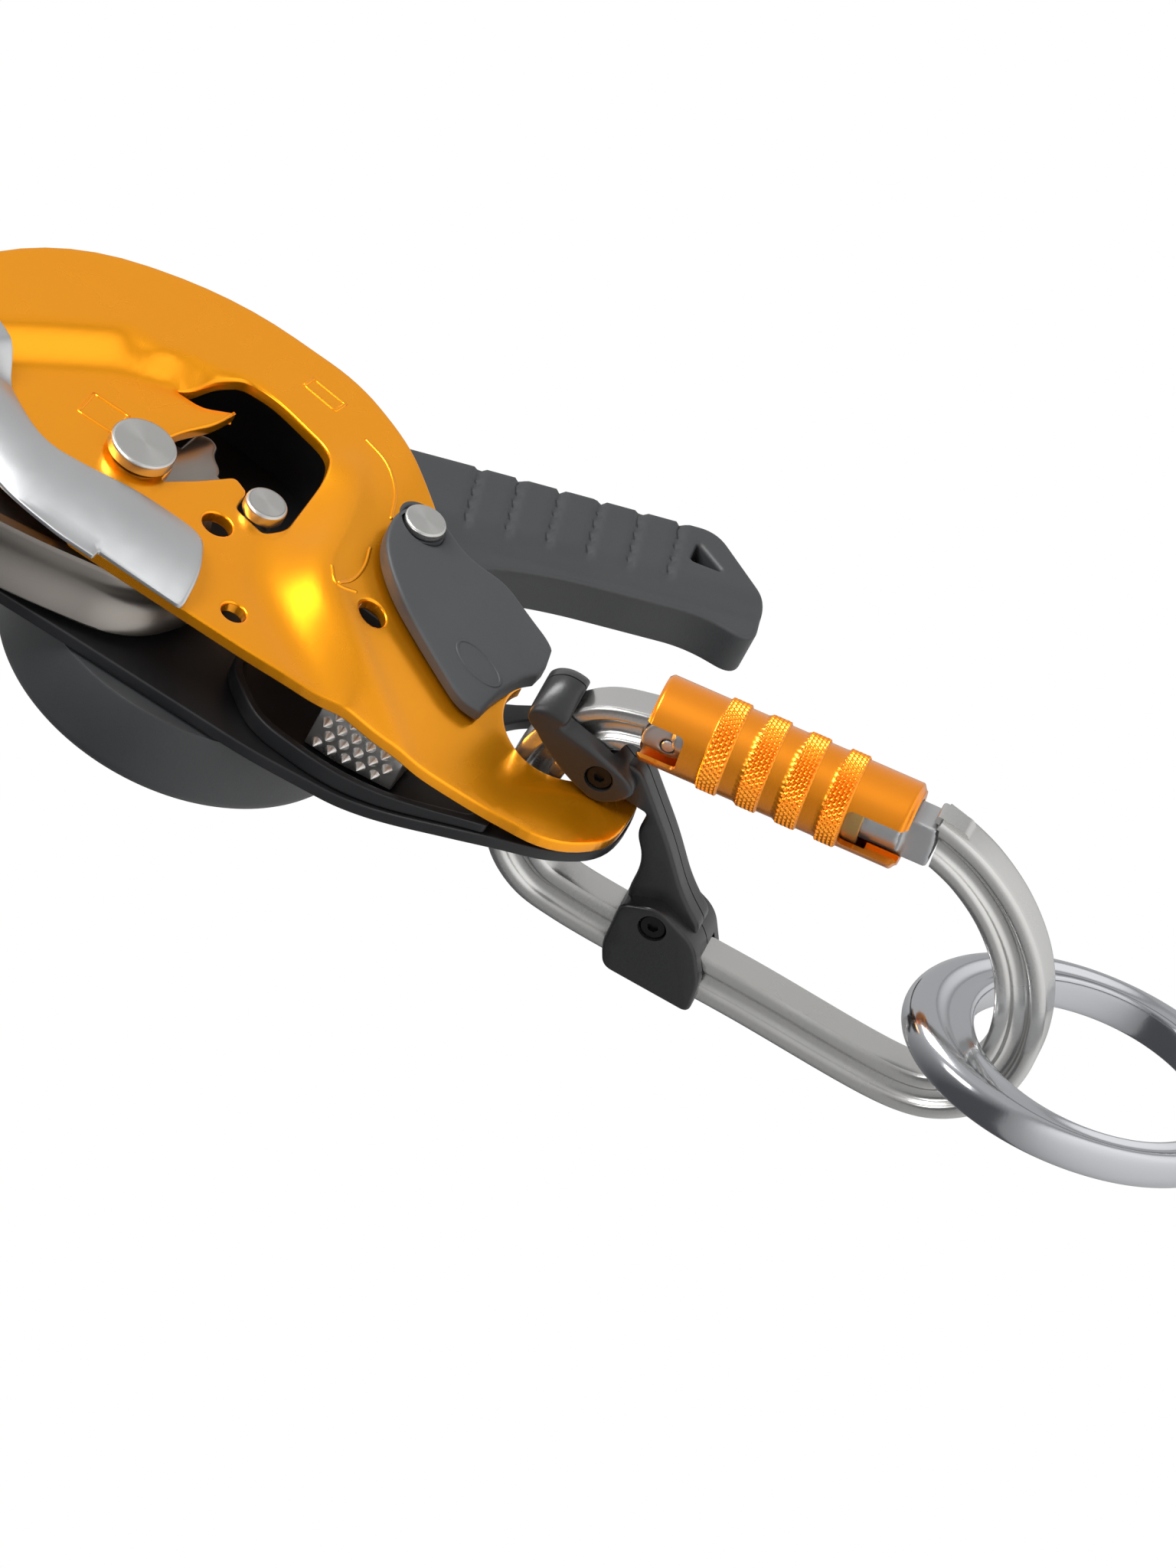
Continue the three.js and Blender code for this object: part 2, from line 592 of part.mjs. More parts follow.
function connectorBody() {
  const bar = swept(bodyCurve(), barSection(), BODY_STEPS);
  const tongue = join(
    drum(GATE_HINGE, -1.7, 1.7, 4.5, 24),
    prism(outline([[10, 17.5], [14, 18.1], [20, 18.2], [20, 26.8], [13, 26], [10, 24]]), -1.7, 1.7),
  );
  const hingeRoom = drum(GATE_HINGE, -8, 8, 5.8, 32);
  const lobeRoom = prism(outline([[12.5, 12], [12.4, 16.4, 1], [13.2, 18.6, 2], [21, 18.6], [21, 12]]), -8, 8);
  const nose = prism(outline([[71.2, 38.6, 1], [78, 38, 1], [82, 32, 1], [76, 33, 1], [71.2, 36.6, 0.5]]), -2.4, 2.4);
  const sweep = drum(GATE_HINGE, -6, 6, GATE_REACH + 0.5, 96);
  const gateRoom = prism(outline([[60, 10], [84, 10], [84, 36.7], [60, 36.7]]), -6, 6).intersect(sweep);
  const shortened = join(cut(bar, hingeRoom, lobeRoom), tongue);
  return cut(join(shortened, nose), gateRoom, drum(GATE_HINGE, -6, 6, 1.3 + GAP, 16));
}

// The gate under the sleeve: a round bar forked over the hinge tongue, with a flat end at the nose.
function connectorGate() {
  const core = alongGate(turned([0, 0], [[0, 2.6], [5.6, 2.6], [5.6, 49.5], [0, 49.5]], 24));
  const cheeks = drum(GATE_HINGE, -4.6, 4.6, 5.4, 32);
  const tip = prism(outline([[65, 25.4], [73.6, 26.4, 1], [74.7, 30], [74.4, 36.3, 1], [65, 35.4]]), -3.7, 3.7);
  const slot = prism(outline([[10, 15], [26.5, 15], [26.5, 34], [10, 34]]), -1.7 - GAP, 1.7 + GAP);
  const reach = drum(GATE_HINGE, -8, 8, GATE_REACH, 96);
  const forked = cut(join(core, cheeks), slot);
  const round = alongGate(drum([0, 0], -10, 60, 5.8, 24));
  return cut(join(forked, tip).intersect(round).intersect(reach), drum(GATE_HINGE, -8, 8, 1.3 + GAP, 16));
}

const hingePin = () => drum(GATE_HINGE, -4.5, 4.5, 1.3, 16);

const slideBush = () => alongGate(ring([0, 0], 30, 42, 7.2, 5.9, 24));

// The locking sleeve, with four raised bands and a slot at each end.
function lockingSleeve() {
  const { radius, neck, bore, mouth, from, to } = SLEEVE;
  const { first, pitch, width } = SLEEVE_BANDS;
  const outer = [[neck - 0.8, from], [neck, from + 0.8]];
  for (let i = 0; i < 4; i++) {
    const start = first + pitch * i;
    outer.push([neck, start], [radius, start + 0.4], [radius, start + width - 0.4], [neck, start + width]);
  }
  outer.push([neck, to - 1.2], [neck - 1.2, to]);
  const inner = [[bore, to], [bore, 44], [7.6, 44], [7.6, 28], [bore, 28], [bore, 8], [mouth, 6.5], [mouth, from]];
  const tube = turned([0, 0], [...outer, ...inner, outer[0]], 24);
  const { half, hingeEnd, noseEnd } = SLEEVE_SLOTS;
  const slot = () => outline([[-12, -half], [-5, -half], [-5, half], [-12, half]]);
  return alongGate(cut(tube, prism(slot(), from - 1, from + hingeEnd), prism(slot(), to - noseEnd, to + 1)));
}

// Half of the clamped bar that keeps the connector square in the device: an eye round the connector's bend and a
// foot on its spine, joined by a slimmer arm.
const CAPTIVE = { half: 7, arm: 3.6, screws: [[11.5, 9.5], [34.5, -16.5]], screwRadius: 1.5, headRadius: 2.6 };
function captiveHalf(side) {
  const eye = outline([
    [-6.6, 15.2, 3], [-6.4, 21.5, 3], [-3, 24.6, 2.5], [1.4, 23.6, 2], [0.6, 18.6, 1.5], [8.1, 16.6, 3],
    [15.2, 13.4, 2], [19.4, 10.2, 2.5], [16.8, 6.2, 2], [12.9, 3.4, 3], [6, 5.6, 4], [-2, 10.4, 5],
  ]);
  const foot = outline([
    [26.8, -15, 2], [34, -11.6, 3], [43.4, -15.4, 3], [47.6, -23, 2], [48.6, -30.9, 2], [29.6, -30.9, 2], [27.4, -26, 2],
  ]);
  const arm = outline([
    [14, 13], [18, 13.4, 2], [29.6, 0.6, 4], [36.6, -8.6, 4], [43, -14, 2], [40, -22], [30, -22],
    [26.8, -14, 2], [26.6, -5.9, 4], [22.9, -0.5, 2], [22.9, 4.7, 1], [14, 5.2],
  ]);
  const layer = (shape, thickness) => {
    const low = side > 0 ? GAP / 2 : -thickness;
    return prism(shape, low, low + thickness - GAP / 2);
  };
  const blank = join(layer(eye, CAPTIVE.half), layer(foot, CAPTIVE.half), layer(arm, CAPTIVE.arm));
  const [t, w] = [BAR.thickness / 2 + GAP, BAR.width / 2 + GAP];
  const room = swept(bodyCurve(), outline([[t, -w], [t, w], [-t, w], [-t, -w]]), BODY_STEPS);
  const holes = CAPTIVE.screws.flatMap((at) => [
    drum(at, -8, 8, CAPTIVE.screwRadius + GAP, 14),
    drum(at, CAPTIVE.half - 1.9, 9, CAPTIVE.headRadius + GAP, 18),
  ]);
  return cut(blank, room, ...holes);
}

const captiveScrew = (at) =>
  turned(at, [
    [0, -6], [CAPTIVE.screwRadius, -6], [CAPTIVE.screwRadius, 5.4], [CAPTIVE.headRadius, 5.4],
    [CAPTIVE.headRadius, 6.5], [1.3, 6.5], [1.3, 5.8], [0, 5.8],
  ], 14);

// The oval end ring, which lies across the connector's basket.
const END_RING = { at: [119.5, 4.5], hole: [121.5, 5], tilt: 15, outer: [37, 25.5], inner: [25, 19.5], top: 0, thickness: 9 };
function endRing() {
  const turn = THREE.MathUtils.degToRad(END_RING.tilt);
  const shape = new THREE.Shape().absellipse(...END_RING.at, ...END_RING.outer, 0, 2 * Math.PI, false, turn);
  const hole = new THREE.Path().absellipse(...END_RING.hole, ...END_RING.inner, 0, 2 * Math.PI, true, turn);
  shape.holes.push(hole);
  return prism(shape, END_RING.top - END_RING.thickness, END_RING.top, { bevel: 1.6, curveSegments: 18 });
}

// ---------- assembly ----------

const device = new THREE.Group();
const down = new THREE.Vector3(0, 0, -1);
const across = new THREE.Vector3(1, 0, 0);
const out = new THREE.Vector3(0, -1, 0);
device.matrixAutoUpdate = false;
device.matrix.makeBasis(down, across, out);

device.add(
  mesh("fixed_plate", fixedPlate(), BLACK),
  mesh("cam_axle", stud(CAM_AXLE, CAM_AXLE_RADIUS, 6.8, 16.15), TURNED),
  mesh("frame_stud", stud(HANDLE_AXLE, STUD_RADIUS, 4.35, 15), TURNED),
  mesh("friction_wedge", frictionWedge(), NICKEL),
  mesh("pocket_rim", pocketRim(), BLACK),
  mesh("catch_pin", catchPin(), STAINLESS),
  mesh("cam_spring", camSpring(), SPRING_STEEL),
  mesh("handle_axle", handleAxle(), STAINLESS),
  mesh("handle_washer", handleWasher(), STAINLESS),
  mesh("handle_bolt", handleBolt(), STAINLESS),

  mesh("cam", cam(), NICKEL),
  mesh("cam_bush", camBush(), BRONZE),
  mesh("toothed_catch", toothedCatch(), STAINLESS),

  mesh("side_plate", sidePlate(), GOLD),
  mesh("auxiliary_brake", auxiliaryBrake(), SATIN_SILVER),
  ...BRAKE_RIVETS.map((at, i) => mesh("brake_rivet_" + (i + 1), brakeRivet(at), STAINLESS)),
  mesh("gate_rivet", gateRivet(), TURNED),
  mesh("gate_spring", gateSpring(), SPRING_STEEL),
  mesh("gate_cap", gateCap(), GREY_PLASTIC),

  mesh("handle_shell", handleShell(), GREY_PLASTIC),
  mesh("handle_spring", handleSpring(), SPRING_STEEL),
  mesh("hub_cap", hubCap(), GREY_PLASTIC),
  ...capScrewPlaces().map((at, i) => mesh("cap_screw_" + (i + 1), capScrew(at), STAINLESS)),
  mesh("release_button", releaseButton(), ORANGE),
);

// The end ring lies in the plates' plane, so it is placed by the connector's tilt alone.
const hanging = new THREE.Group();
hanging.position.set(...CONNECTOR_PIVOT, 0);
hanging.rotation.z = THREE.MathUtils.degToRad(CONNECTOR_TILT);
hanging.add(mesh("end_ring", endRing(), POLISHED));

const connector = new THREE.Group();
connector.rotation.x = Math.PI / 2;
connector.add(
  mesh("connector_body", connectorBody(), GREY_ANODISED),
  mesh("connector_gate", connectorGate(), SATIN_SILVER),
  mesh("gate_hinge_pin", hingePin(), STAINLESS),
  mesh("slide_bush", slideBush(), BRONZE),
  mesh("locking_sleeve", lockingSleeve(), ORANGE),
  mesh("captive_bar_front", captiveHalf(1), BLACK),
  mesh("captive_bar_rear", captiveHalf(-1), BLACK),
  ...CAPTIVE.screws.map((at, i) => mesh("captive_screw_" + (i + 1), captiveScrew(at), STAINLESS)),
);
hanging.add(connector);
device.add(hanging);

const ropeGrab = new THREE.Group();
ropeGrab.add(device);
export default ropeGrab;
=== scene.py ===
"""Looks of the rope grab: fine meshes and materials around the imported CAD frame.

Pieces are built in millimetres in the device's own directions: a down the device, b towards the handle and
c out of the front, with the cam axle at a = b = 0. DEVICE turns those into the row frame in metres. The
connector's pieces are built in its own plane (x along it, y out of the front, z across it), which CONNECTOR
places.
"""

import math

import bmesh
import bpy
import numpy as np
from mathutils import Matrix, Vector
from mathutils.geometry import delaunay_2d_cdt


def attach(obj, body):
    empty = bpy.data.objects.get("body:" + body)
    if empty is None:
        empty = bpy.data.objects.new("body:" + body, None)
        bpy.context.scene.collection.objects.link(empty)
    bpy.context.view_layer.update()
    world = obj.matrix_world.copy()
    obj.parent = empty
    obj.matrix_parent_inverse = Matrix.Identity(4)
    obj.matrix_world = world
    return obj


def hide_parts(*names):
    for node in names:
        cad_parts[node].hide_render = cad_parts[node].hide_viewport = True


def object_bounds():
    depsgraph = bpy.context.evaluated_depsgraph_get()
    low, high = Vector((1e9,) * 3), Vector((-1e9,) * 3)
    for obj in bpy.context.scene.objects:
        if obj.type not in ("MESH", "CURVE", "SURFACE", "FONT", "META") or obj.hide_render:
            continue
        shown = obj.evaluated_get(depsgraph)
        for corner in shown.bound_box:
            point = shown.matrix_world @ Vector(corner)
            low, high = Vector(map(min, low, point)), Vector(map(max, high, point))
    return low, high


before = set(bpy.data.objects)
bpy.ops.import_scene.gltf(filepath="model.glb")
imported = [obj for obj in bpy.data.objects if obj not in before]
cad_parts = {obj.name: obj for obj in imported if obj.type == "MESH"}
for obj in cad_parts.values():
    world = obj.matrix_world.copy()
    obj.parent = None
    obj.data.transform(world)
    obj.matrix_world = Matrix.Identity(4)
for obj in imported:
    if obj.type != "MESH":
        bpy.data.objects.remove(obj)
cad_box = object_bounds()

# ---------- places, in millimetres ----------

GAP = 0.3
SHEET = 2.85
INNER = 9.5
LOW_TOP = INNER + SHEET
RAISED_TOP = 17.1
TIP_TOP = 3.8
TIP_INNER = TIP_TOP - SHEET
REAR_SLOPE = (66, 106)
CAM_AXLE = (0, 0)
HANDLE_AXLE = (25.4, 6.5)
GATE_RIVET = (52, 21)
CATCH_PIN = (72, -9)
HOOK = ((95.8, 9.55), 11.7)
CONNECTOR_PIVOT = (95.8, 4)
CONNECTOR_TILT = 6.5
HUB_RADIUS = 38.9
CREST, VALLEY = 0.75, 0.55
FOOT_LINE = [
    (-62, -30), (-45, -16), (-29, 2), (-17, 14), (-6, 23.5), (3, 26), (9, 29), (17, 26.5), (24.3, 18),
    (28, 6), (29.3, -2), (33, -10), (41, -18), (52, -25.5), (64, -33), (76, -42),
]

MM = 0.001
DEVICE = Matrix(((0, MM, 0, 0), (0, 0, -MM, 0), (-MM, 0, 0, 0), (0, 0, 0, 1)))
HANGING = (
    DEVICE
    @ Matrix.Translation((*CONNECTOR_PIVOT, 0))
    @ Matrix.Rotation(math.radians(CONNECTOR_TILT), 4, "Z")
)
CONNECTOR = HANGING @ Matrix.Rotation(math.pi / 2, 4, "X")

# ---------- camera and light ----------

VIEW_RIGHT = Vector((0.4067, -0.3772, -0.8323))
VIEW_UP = Vector((0.4957, -0.6748, 0.5477))
VIEW_BACK = Vector((-0.7682, -0.6353, -0.0874))
VIEW_CENTRE = Vector((-0.95, -6.9, -107)) * MM
VIEW_DISTANCE = 3.0
VIEW_HEIGHT = 0.2994  # what the picture's long side covers
SENSOR = 36
REFLECTED = 0.7  # how bright the surroundings are in reflections


def put(name, data):
    """Adds an object to the scene."""
    made = bpy.data.objects.new(name, data)
    bpy.context.scene.collection.objects.link(made)
    return made


def add_camera():
    data = bpy.data.cameras.new("camera")
    data.sensor_fit = "VERTICAL"
    data.sensor_height = SENSOR
    data.lens = SENSOR * VIEW_DISTANCE / VIEW_HEIGHT
    data.clip_end = 50
    camera = put("camera", data)
    turn = Matrix((VIEW_RIGHT, VIEW_UP, VIEW_BACK)).transposed().to_4x4()
    camera.matrix_world = Matrix.Translation(VIEW_CENTRE + VIEW_DISTANCE * VIEW_BACK) @ turn
    bpy.context.scene.camera = camera


def area_light(name, right, up, back, size, power):
    """A square light, placed by how far it is from the object along the camera's own directions."""
    data = bpy.data.lights.new(name, "AREA")
    data.size = size
    data.energy = power
    light = put(name, data)
    away = right * VIEW_RIGHT + up * VIEW_UP + back * VIEW_BACK
    light.location = VIEW_CENTRE + away
    light.rotation_euler = away.to_track_quat("Z", "Y").to_euler()


def add_world():
    """White behind the object, and a softer grey gradient for what its surfaces reflect."""
    world = bpy.data.worlds.new("studio")
    world.use_nodes = True
    tree = world.node_tree
    tree.nodes.clear()

    def make(kind):
        return tree.nodes.new("ShaderNode" + kind)

    output = make("OutputWorld")
    mix = make("MixShader")
    path = make("LightPath")
    white = make("Background")
    white.inputs["Color"].default_value = (1, 1, 1, 1)
    soft = make("Background")
    soft.inputs["Strength"].default_value = REFLECTED
    coords = make("TexCoord")
    height = make("VectorMath")
    height.operation = "DOT_PRODUCT"
    height.inputs[1].default_value = VIEW_UP
    ramp = make("ValToRGB")
    for stop, position, colour in zip(
        ramp.color_ramp.elements, (0.25, 0.75), ((0.16, 0.16, 0.17, 1), (0.95, 0.95, 0.95, 1))
    ):
        stop.position = position
        stop.color = colour
    shift = make("MapRange")
    shift.inputs["From Min"].default_value = -1
    link = tree.links.new
    link(coords.outputs["Generated"], height.inputs[0])
    link(height.outputs["Value"], shift.inputs["Value"])
    link(shift.outputs["Result"], ramp.inputs["Fac"])
    link(ramp.outputs["Color"], soft.inputs["Color"])
    link(path.outputs["Is Camera Ray"], mix.inputs["Fac"])
    link(soft.outputs["Background"], mix.inputs[1])
    link(white.outputs["Background"], mix.inputs[2])
    link(mix.outputs["Shader"], output.inputs["Surface"])
    bpy.context.scene.world = world


def add_floor():
    size = 8
    mesh = bpy.data.meshes.new("floor")
    corners = [(-size, -size, 0), (size, -size, 0), (size, size, 0), (-size, size, 0)]
    mesh.from_pydata(corners, [], [(0, 1, 2, 3)])
    floor = put("floor", mesh)
    floor.location = (0, 0, cad_box[0][2] - 0.35)
    paint = bpy.data.materials.new("floor_paint")
    paint.use_nodes = True
    paint.node_tree.nodes["Principled BSDF"].inputs["Base Color"].default_value = (0.9, 0.9, 0.9, 1)
    mesh.materials.append(paint)


add_camera()
add_world()
add_floor()
area_light("key", -0.55, 1.25, 0.85, 0.8, 34)
area_light("side", 1.4, 0.35, 0.5, 0.45, 13)
area_light("front", -0.9, 0.0, 1.2, 0.5, 4)
bpy.context.scene.view_settings.view_transform = "Standard"

# ---------- materials ----------


class Paint:
    """A principled material with helpers for the noise, colour and bump that feed it."""

    def __init__(self, name, color, roughness, metallic=0.0, **settings):
        self.material = bpy.data.materials.new(name)
        self.material.use_nodes = True
        self.tree = self.material.node_tree
        self.shader = self.tree.nodes["Principled BSDF"]
        self.color = (*color, 1)
        self.roughness = roughness
        self.set("Base Color", self.color)
        self.set("Roughness", roughness)
        self.set("Metallic", metallic)
        for key, value in settings.items():
            self.set(key.replace("_", " "), value)
        self.coords = self.node("TexCoord").outputs["Object"]
        self.normal = None

    def set(self, socket, value):
        self.shader.inputs[socket].default_value = value

    def node(self, kind, **inputs):
        made = self.tree.nodes.new("ShaderNode" + kind)
        for key, value in inputs.items():
            made.inputs[key.replace("_", " ")].default_value = value
        return made

    def link(self, start, end):
        self.tree.links.new(start, end)

    def noise(self, scale, detail):
        made = self.node("TexNoise", Scale=scale, Detail=detail)
        self.link(self.coords, made.inputs["Vector"])
        return made.outputs["Fac"]

    def mapped(self, value, low, high):
        made = self.node("MapRange", From_Min=0.3, From_Max=0.7, To_Min=low, To_Max=high)
        self.link(value, made.inputs["Value"])
        return made.outputs["Result"]

    def vary_roughness(self, scale, spread):
        value = self.mapped(self.noise(scale, 4), self.roughness - spread, self.roughness + spread)
        self.link(value, self.shader.inputs["Roughness"])
        return self

    def vary_color(self, scale, other):
        mix = self.node("Mix")
        mix.data_type = "RGBA"
        mix.inputs[6].default_value = self.color
        mix.inputs[7].default_value = (*other, 1)
        self.link(self.mapped(self.noise(scale, 5), 0, 1), mix.inputs[0])
        self.link(mix.outputs[2], self.shader.inputs["Base Color"])
        return self

    def bump(self, value, strength, distance):
        made = self.node("Bump", Strength=strength, Distance=distance)
        self.link(value, made.inputs["Height"])
        if self.normal is not None:
            self.link(self.normal, made.inputs["Normal"])
        self.normal = made.outputs["Normal"]
        self.link(self.normal, self.shader.inputs["Normal"])
        return self

    def grain(self, scale, strength, distance=0.0001):
        return self.bump(self.noise(scale, 4), strength, distance)

    def math(self, kind, operation, start):
        made = self.node(kind)
        made.operation = operation
        self.link(start, made.inputs[0])
        return made

    def turned_rings(self, pitch, strength):
        """Fine lathe rings round the piece's own Y axis."""
        flat = self.math("VectorMath", "MULTIPLY", self.coords)
        flat.inputs[1].default_value = (1, 0, 1)
        radius = self.math("VectorMath", "LENGTH", flat.outputs["Vector"])
        wave = self.math("Math", "MULTIPLY", radius.outputs["Value"])
        wave.inputs[1].default_value = 2 * math.pi / pitch
        sine = self.math("Math", "SINE", wave.outputs["Value"])
        return self.bump(sine.outputs["Value"], strength, 0.00002)

    def radial_glint(self, anisotropy):
        tangent = self.node("Tangent")
        tangent.direction_type = "RADIAL"
        tangent.axis = "Y"
        self.link(tangent.outputs["Tangent"], self.shader.inputs["Tangent"])
        self.set("Anisotropic", anisotropy)
        return self


GOLD = (
    Paint("gold_anodised", (0.97, 0.365, 0.003), 0.26, 0.86, Coat_Weight=0.22, Coat_Roughness=0.12)
    .vary_color(14, (0.94, 0.335, 0.002))
    .vary_roughness(60, 0.03)
    .grain(2600, 0.03, 0.00003)
)
BLACK = (
    Paint("black_anodised", (0.014, 0.0145, 0.016), 0.42, 0.35)
    .vary_roughness(80, 0.07)
    .grain(1500, 0.12)
)
SATIN = Paint("satin_aluminium", (0.47, 0.475, 0.48), 0.37, 0.92).vary_roughness(90, 0.05).grain(2200, 0.10)
NICKEL = (
    Paint("nickel_plate", (0.25, 0.228, 0.205), 0.30, 0.95)
    .vary_color(30, (0.30, 0.275, 0.25))
    .grain(1200, 0.08)
)
TURNED = (
    Paint("turned_face", (0.50, 0.497, 0.48), 0.27, 0.95)
    .radial_glint(0.75)
    .turned_rings(0.00022, 0.35)
)
GATE_PLASTIC = (
    Paint("gate_plastic", (0.040, 0.042, 0.045), 0.55)
    .vary_color(40, (0.035, 0.037, 0.040))
    .grain(3200, 0.35)
)
HANDLE_PLASTIC = (
    Paint("handle_plastic", (0.034, 0.0355, 0.0375), 0.46)
    .vary_color(22, (0.028, 0.0295, 0.031))
    .vary_roughness(70, 0.06)
    .grain(1800, 0.22)
)
STAINLESS = Paint("stainless", (0.74, 0.73, 0.71), 0.30, 0.9).vary_roughness(140, 0.06).grain(2500, 0.15)
SPRING_WIRE = Paint("spring_wire", (0.42, 0.42, 0.42), 0.3, 0.95).grain(2500, 0.15)
BRONZE = Paint("sintered_bronze", (0.45, 0.28, 0.10), 0.42, 0.85).grain(2600, 0.3)
BUTTON = Paint("orange_plastic", (0.80, 0.24, 0.01), 0.42).grain(2200, 0.2)
CONNECTOR_GREY = (
    Paint("grey_anodised", (0.56, 0.555, 0.54), 0.25, 0.95)
    .vary_roughness(90, 0.04)
    .grain(1600, 0.10)
)
ORANGE = (
    Paint("orange_anodised", (0.93, 0.30, 0.010), 0.27, 0.85, Coat_Weight=0.35, Coat_Roughness=0.16)
    .vary_color(30, (0.90, 0.27, 0.003))
    .grain(1500, 0.08)
)
CAPTIVE_BLACK = (
    Paint("captive_black", (0.014, 0.0143, 0.015), 0.33)
    .vary_roughness(90, 0.06)
    .grain(1500, 0.18)
)
SCREW_BLACK = Paint("screw_black", (0.012, 0.012, 0.013), 0.3, 0.7).grain(2000, 0.1)
POLISHED = (
    Paint("polished_aluminium", (0.50, 0.51, 0.53), 0.14, 1.0)
    .vary_roughness(60, 0.03)
    .grain(500, 0.05, 0.0002)
)

# ---------- mesh helpers, in millimetres ----------


def smooth(t):
    u = min(1, max(0, t))
    return u * u * (3 - 2 * u)


def mix(x, y, t):
    return x + (y - x) * t


def along(a, span):
    return smooth((a - span[0]) / (span[1] - span[0]))


def raw(corners, faces):
    mesh = bpy.data.meshes.new("piece")
    mesh.from_pydata(corners, [], faces)
    mesh.validate()
    made = bmesh.new()
    made.from_mesh(mesh)
    bmesh.ops.remove_doubles(made, verts=made.verts, dist=1e-4)
    bmesh.ops.recalc_face_normals(made, faces=made.faces)
    made.to_mesh(mesh)
    made.free()
    return put("piece", mesh)


def settle(piece):
    """Applies the piece's modifiers."""
    graph = bpy.context.evaluated_depsgraph_get()
    done = bpy.data.meshes.new_from_object(piece.evaluated_get(graph))
    piece.modifiers.clear()
    piece.data = done
    return piece


def combine(piece, others, operation):
    for other in others:
        step = piece.modifiers.new("combine", "BOOLEAN")
        step.operation = operation
        step.object = other
        step.solver = "EXACT"
        settle(piece)
        bpy.data.objects.remove(other)
    return piece


def cut(piece, *others):
    return combine(piece, others, "DIFFERENCE")


def join(piece, *others):
    return combine(piece, others, "UNION")


def soften(piece, voxel, rounds):
    """Rebuilds the piece with even faces and its edges slightly rounded."""
    remesh = piece.modifiers.new("remesh", "REMESH")
    remesh.mode = "VOXEL"
    remesh.voxel_size = voxel
    relax = piece.modifiers.new("relax", "SMOOTH")
    relax.factor = 0.5
    relax.iterations = rounds
    return settle(piece)


def bevelled(piece, degrees=30):
    """Rounds the edges that are sharper than the given angle."""
    bevel = piece.modifiers.new("bevel", "BEVEL")
    bevel.width = 0.35
    bevel.segments = 3
    bevel.limit_method = "ANGLE"
    bevel.angle_limit = math.radians(degrees)


def finer(piece):
    fine = piece.modifiers.new("fine", "SUBSURF")
    fine.levels = 1
    fine.render_levels = 1


def outline(corners, steps=6):
    """A closed outline. Each corner (x, y, round) becomes a curve that starts and ends `round` away."""
    points = []
    for i, corner in enumerate(corners):
        here = Vector(corner[:2])
        rounding = corner[2] if len(corner) > 2 else 0
        ends = []
        for other in (corners[i - 1], corners[(i + 1) % len(corners)]):
            side = Vector(other[:2]) - here
            ends.append(here + side.normalized() * min(rounding, 0.48 * side.length))
        if not rounding:
            points.append(tuple(here))
            continue
        for k in range(steps + 1):
            t = k / steps
            point = (1 - t) ** 2 * ends[0] + 2 * t * (1 - t) * here + t * t * ends[1]
            points.append(tuple(point))
    return points


def stitched(rows, count, closed=False, start=0):
    """Faces between neighbouring rows of `count` corners, and from the last row to the first if closed."""
    faces = []
    for row in range(rows if closed else rows - 1):
        near, far = start + row * count, start + (row + 1) % rows * count
        faces += [(near + i, near + (i + 1) % count, far + (i + 1) % count, far + i) for i in range(count)]
    return faces


def prism(points, low, high):
    count = len(points)
    corners = [(x, y, low) for x, y in points] + [(x, y, high) for x, y in points]
    sides = [(i, (i + 1) % count, count + (i + 1) % count, count + i) for i in range(count)]
    caps = [tuple(range(count - 1, -1, -1)), tuple(range(count, 2 * count))]
    return raw(corners, sides + caps)


def spaced(points, step):
    """The same closed outline with points no further apart than `step`."""
    out = []
    for i, p in enumerate(points):
        q = points[(i + 1) % len(points)]
        parts = max(1, math.ceil(math.dist(p, q) / step))
        for k in range(parts):
            out.append(Vector((mix(p[0], q[0], k / parts), mix(p[1], q[1], k / parts))))
    return out


def loop_normals(points):
    """Unit normals of a closed outline, to the right of its direction of travel."""
    normals = []
    for i, _ in enumerate(points):
        run = points[(i + 1) % len(points)] - points[i - 1]
        normals.append(Vector((run.y, -run.x)).normalized())
    return normals


def turns_left(points):
    return sum(p.x * q.y - q.x * p.y for p, q in zip(points, points[1:] + points[:1])) > 0


def inside(point, loop):
    within = False
    for p, q in zip(loop, loop[1:] + loop[:1]):
        if (p.y > point[1]) != (q.y > point[1]):
            if point[0] < (q.x - p.x) * (point[1] - p.y) / (q.y - p.y) + p.x:
                within = not within
    return within


def within(point, loops):
    """Whether a point lies in the first loop and outside all the others."""
    return inside(point, loops[0]) and not any(inside(point, hole) for hole in loops[1:])


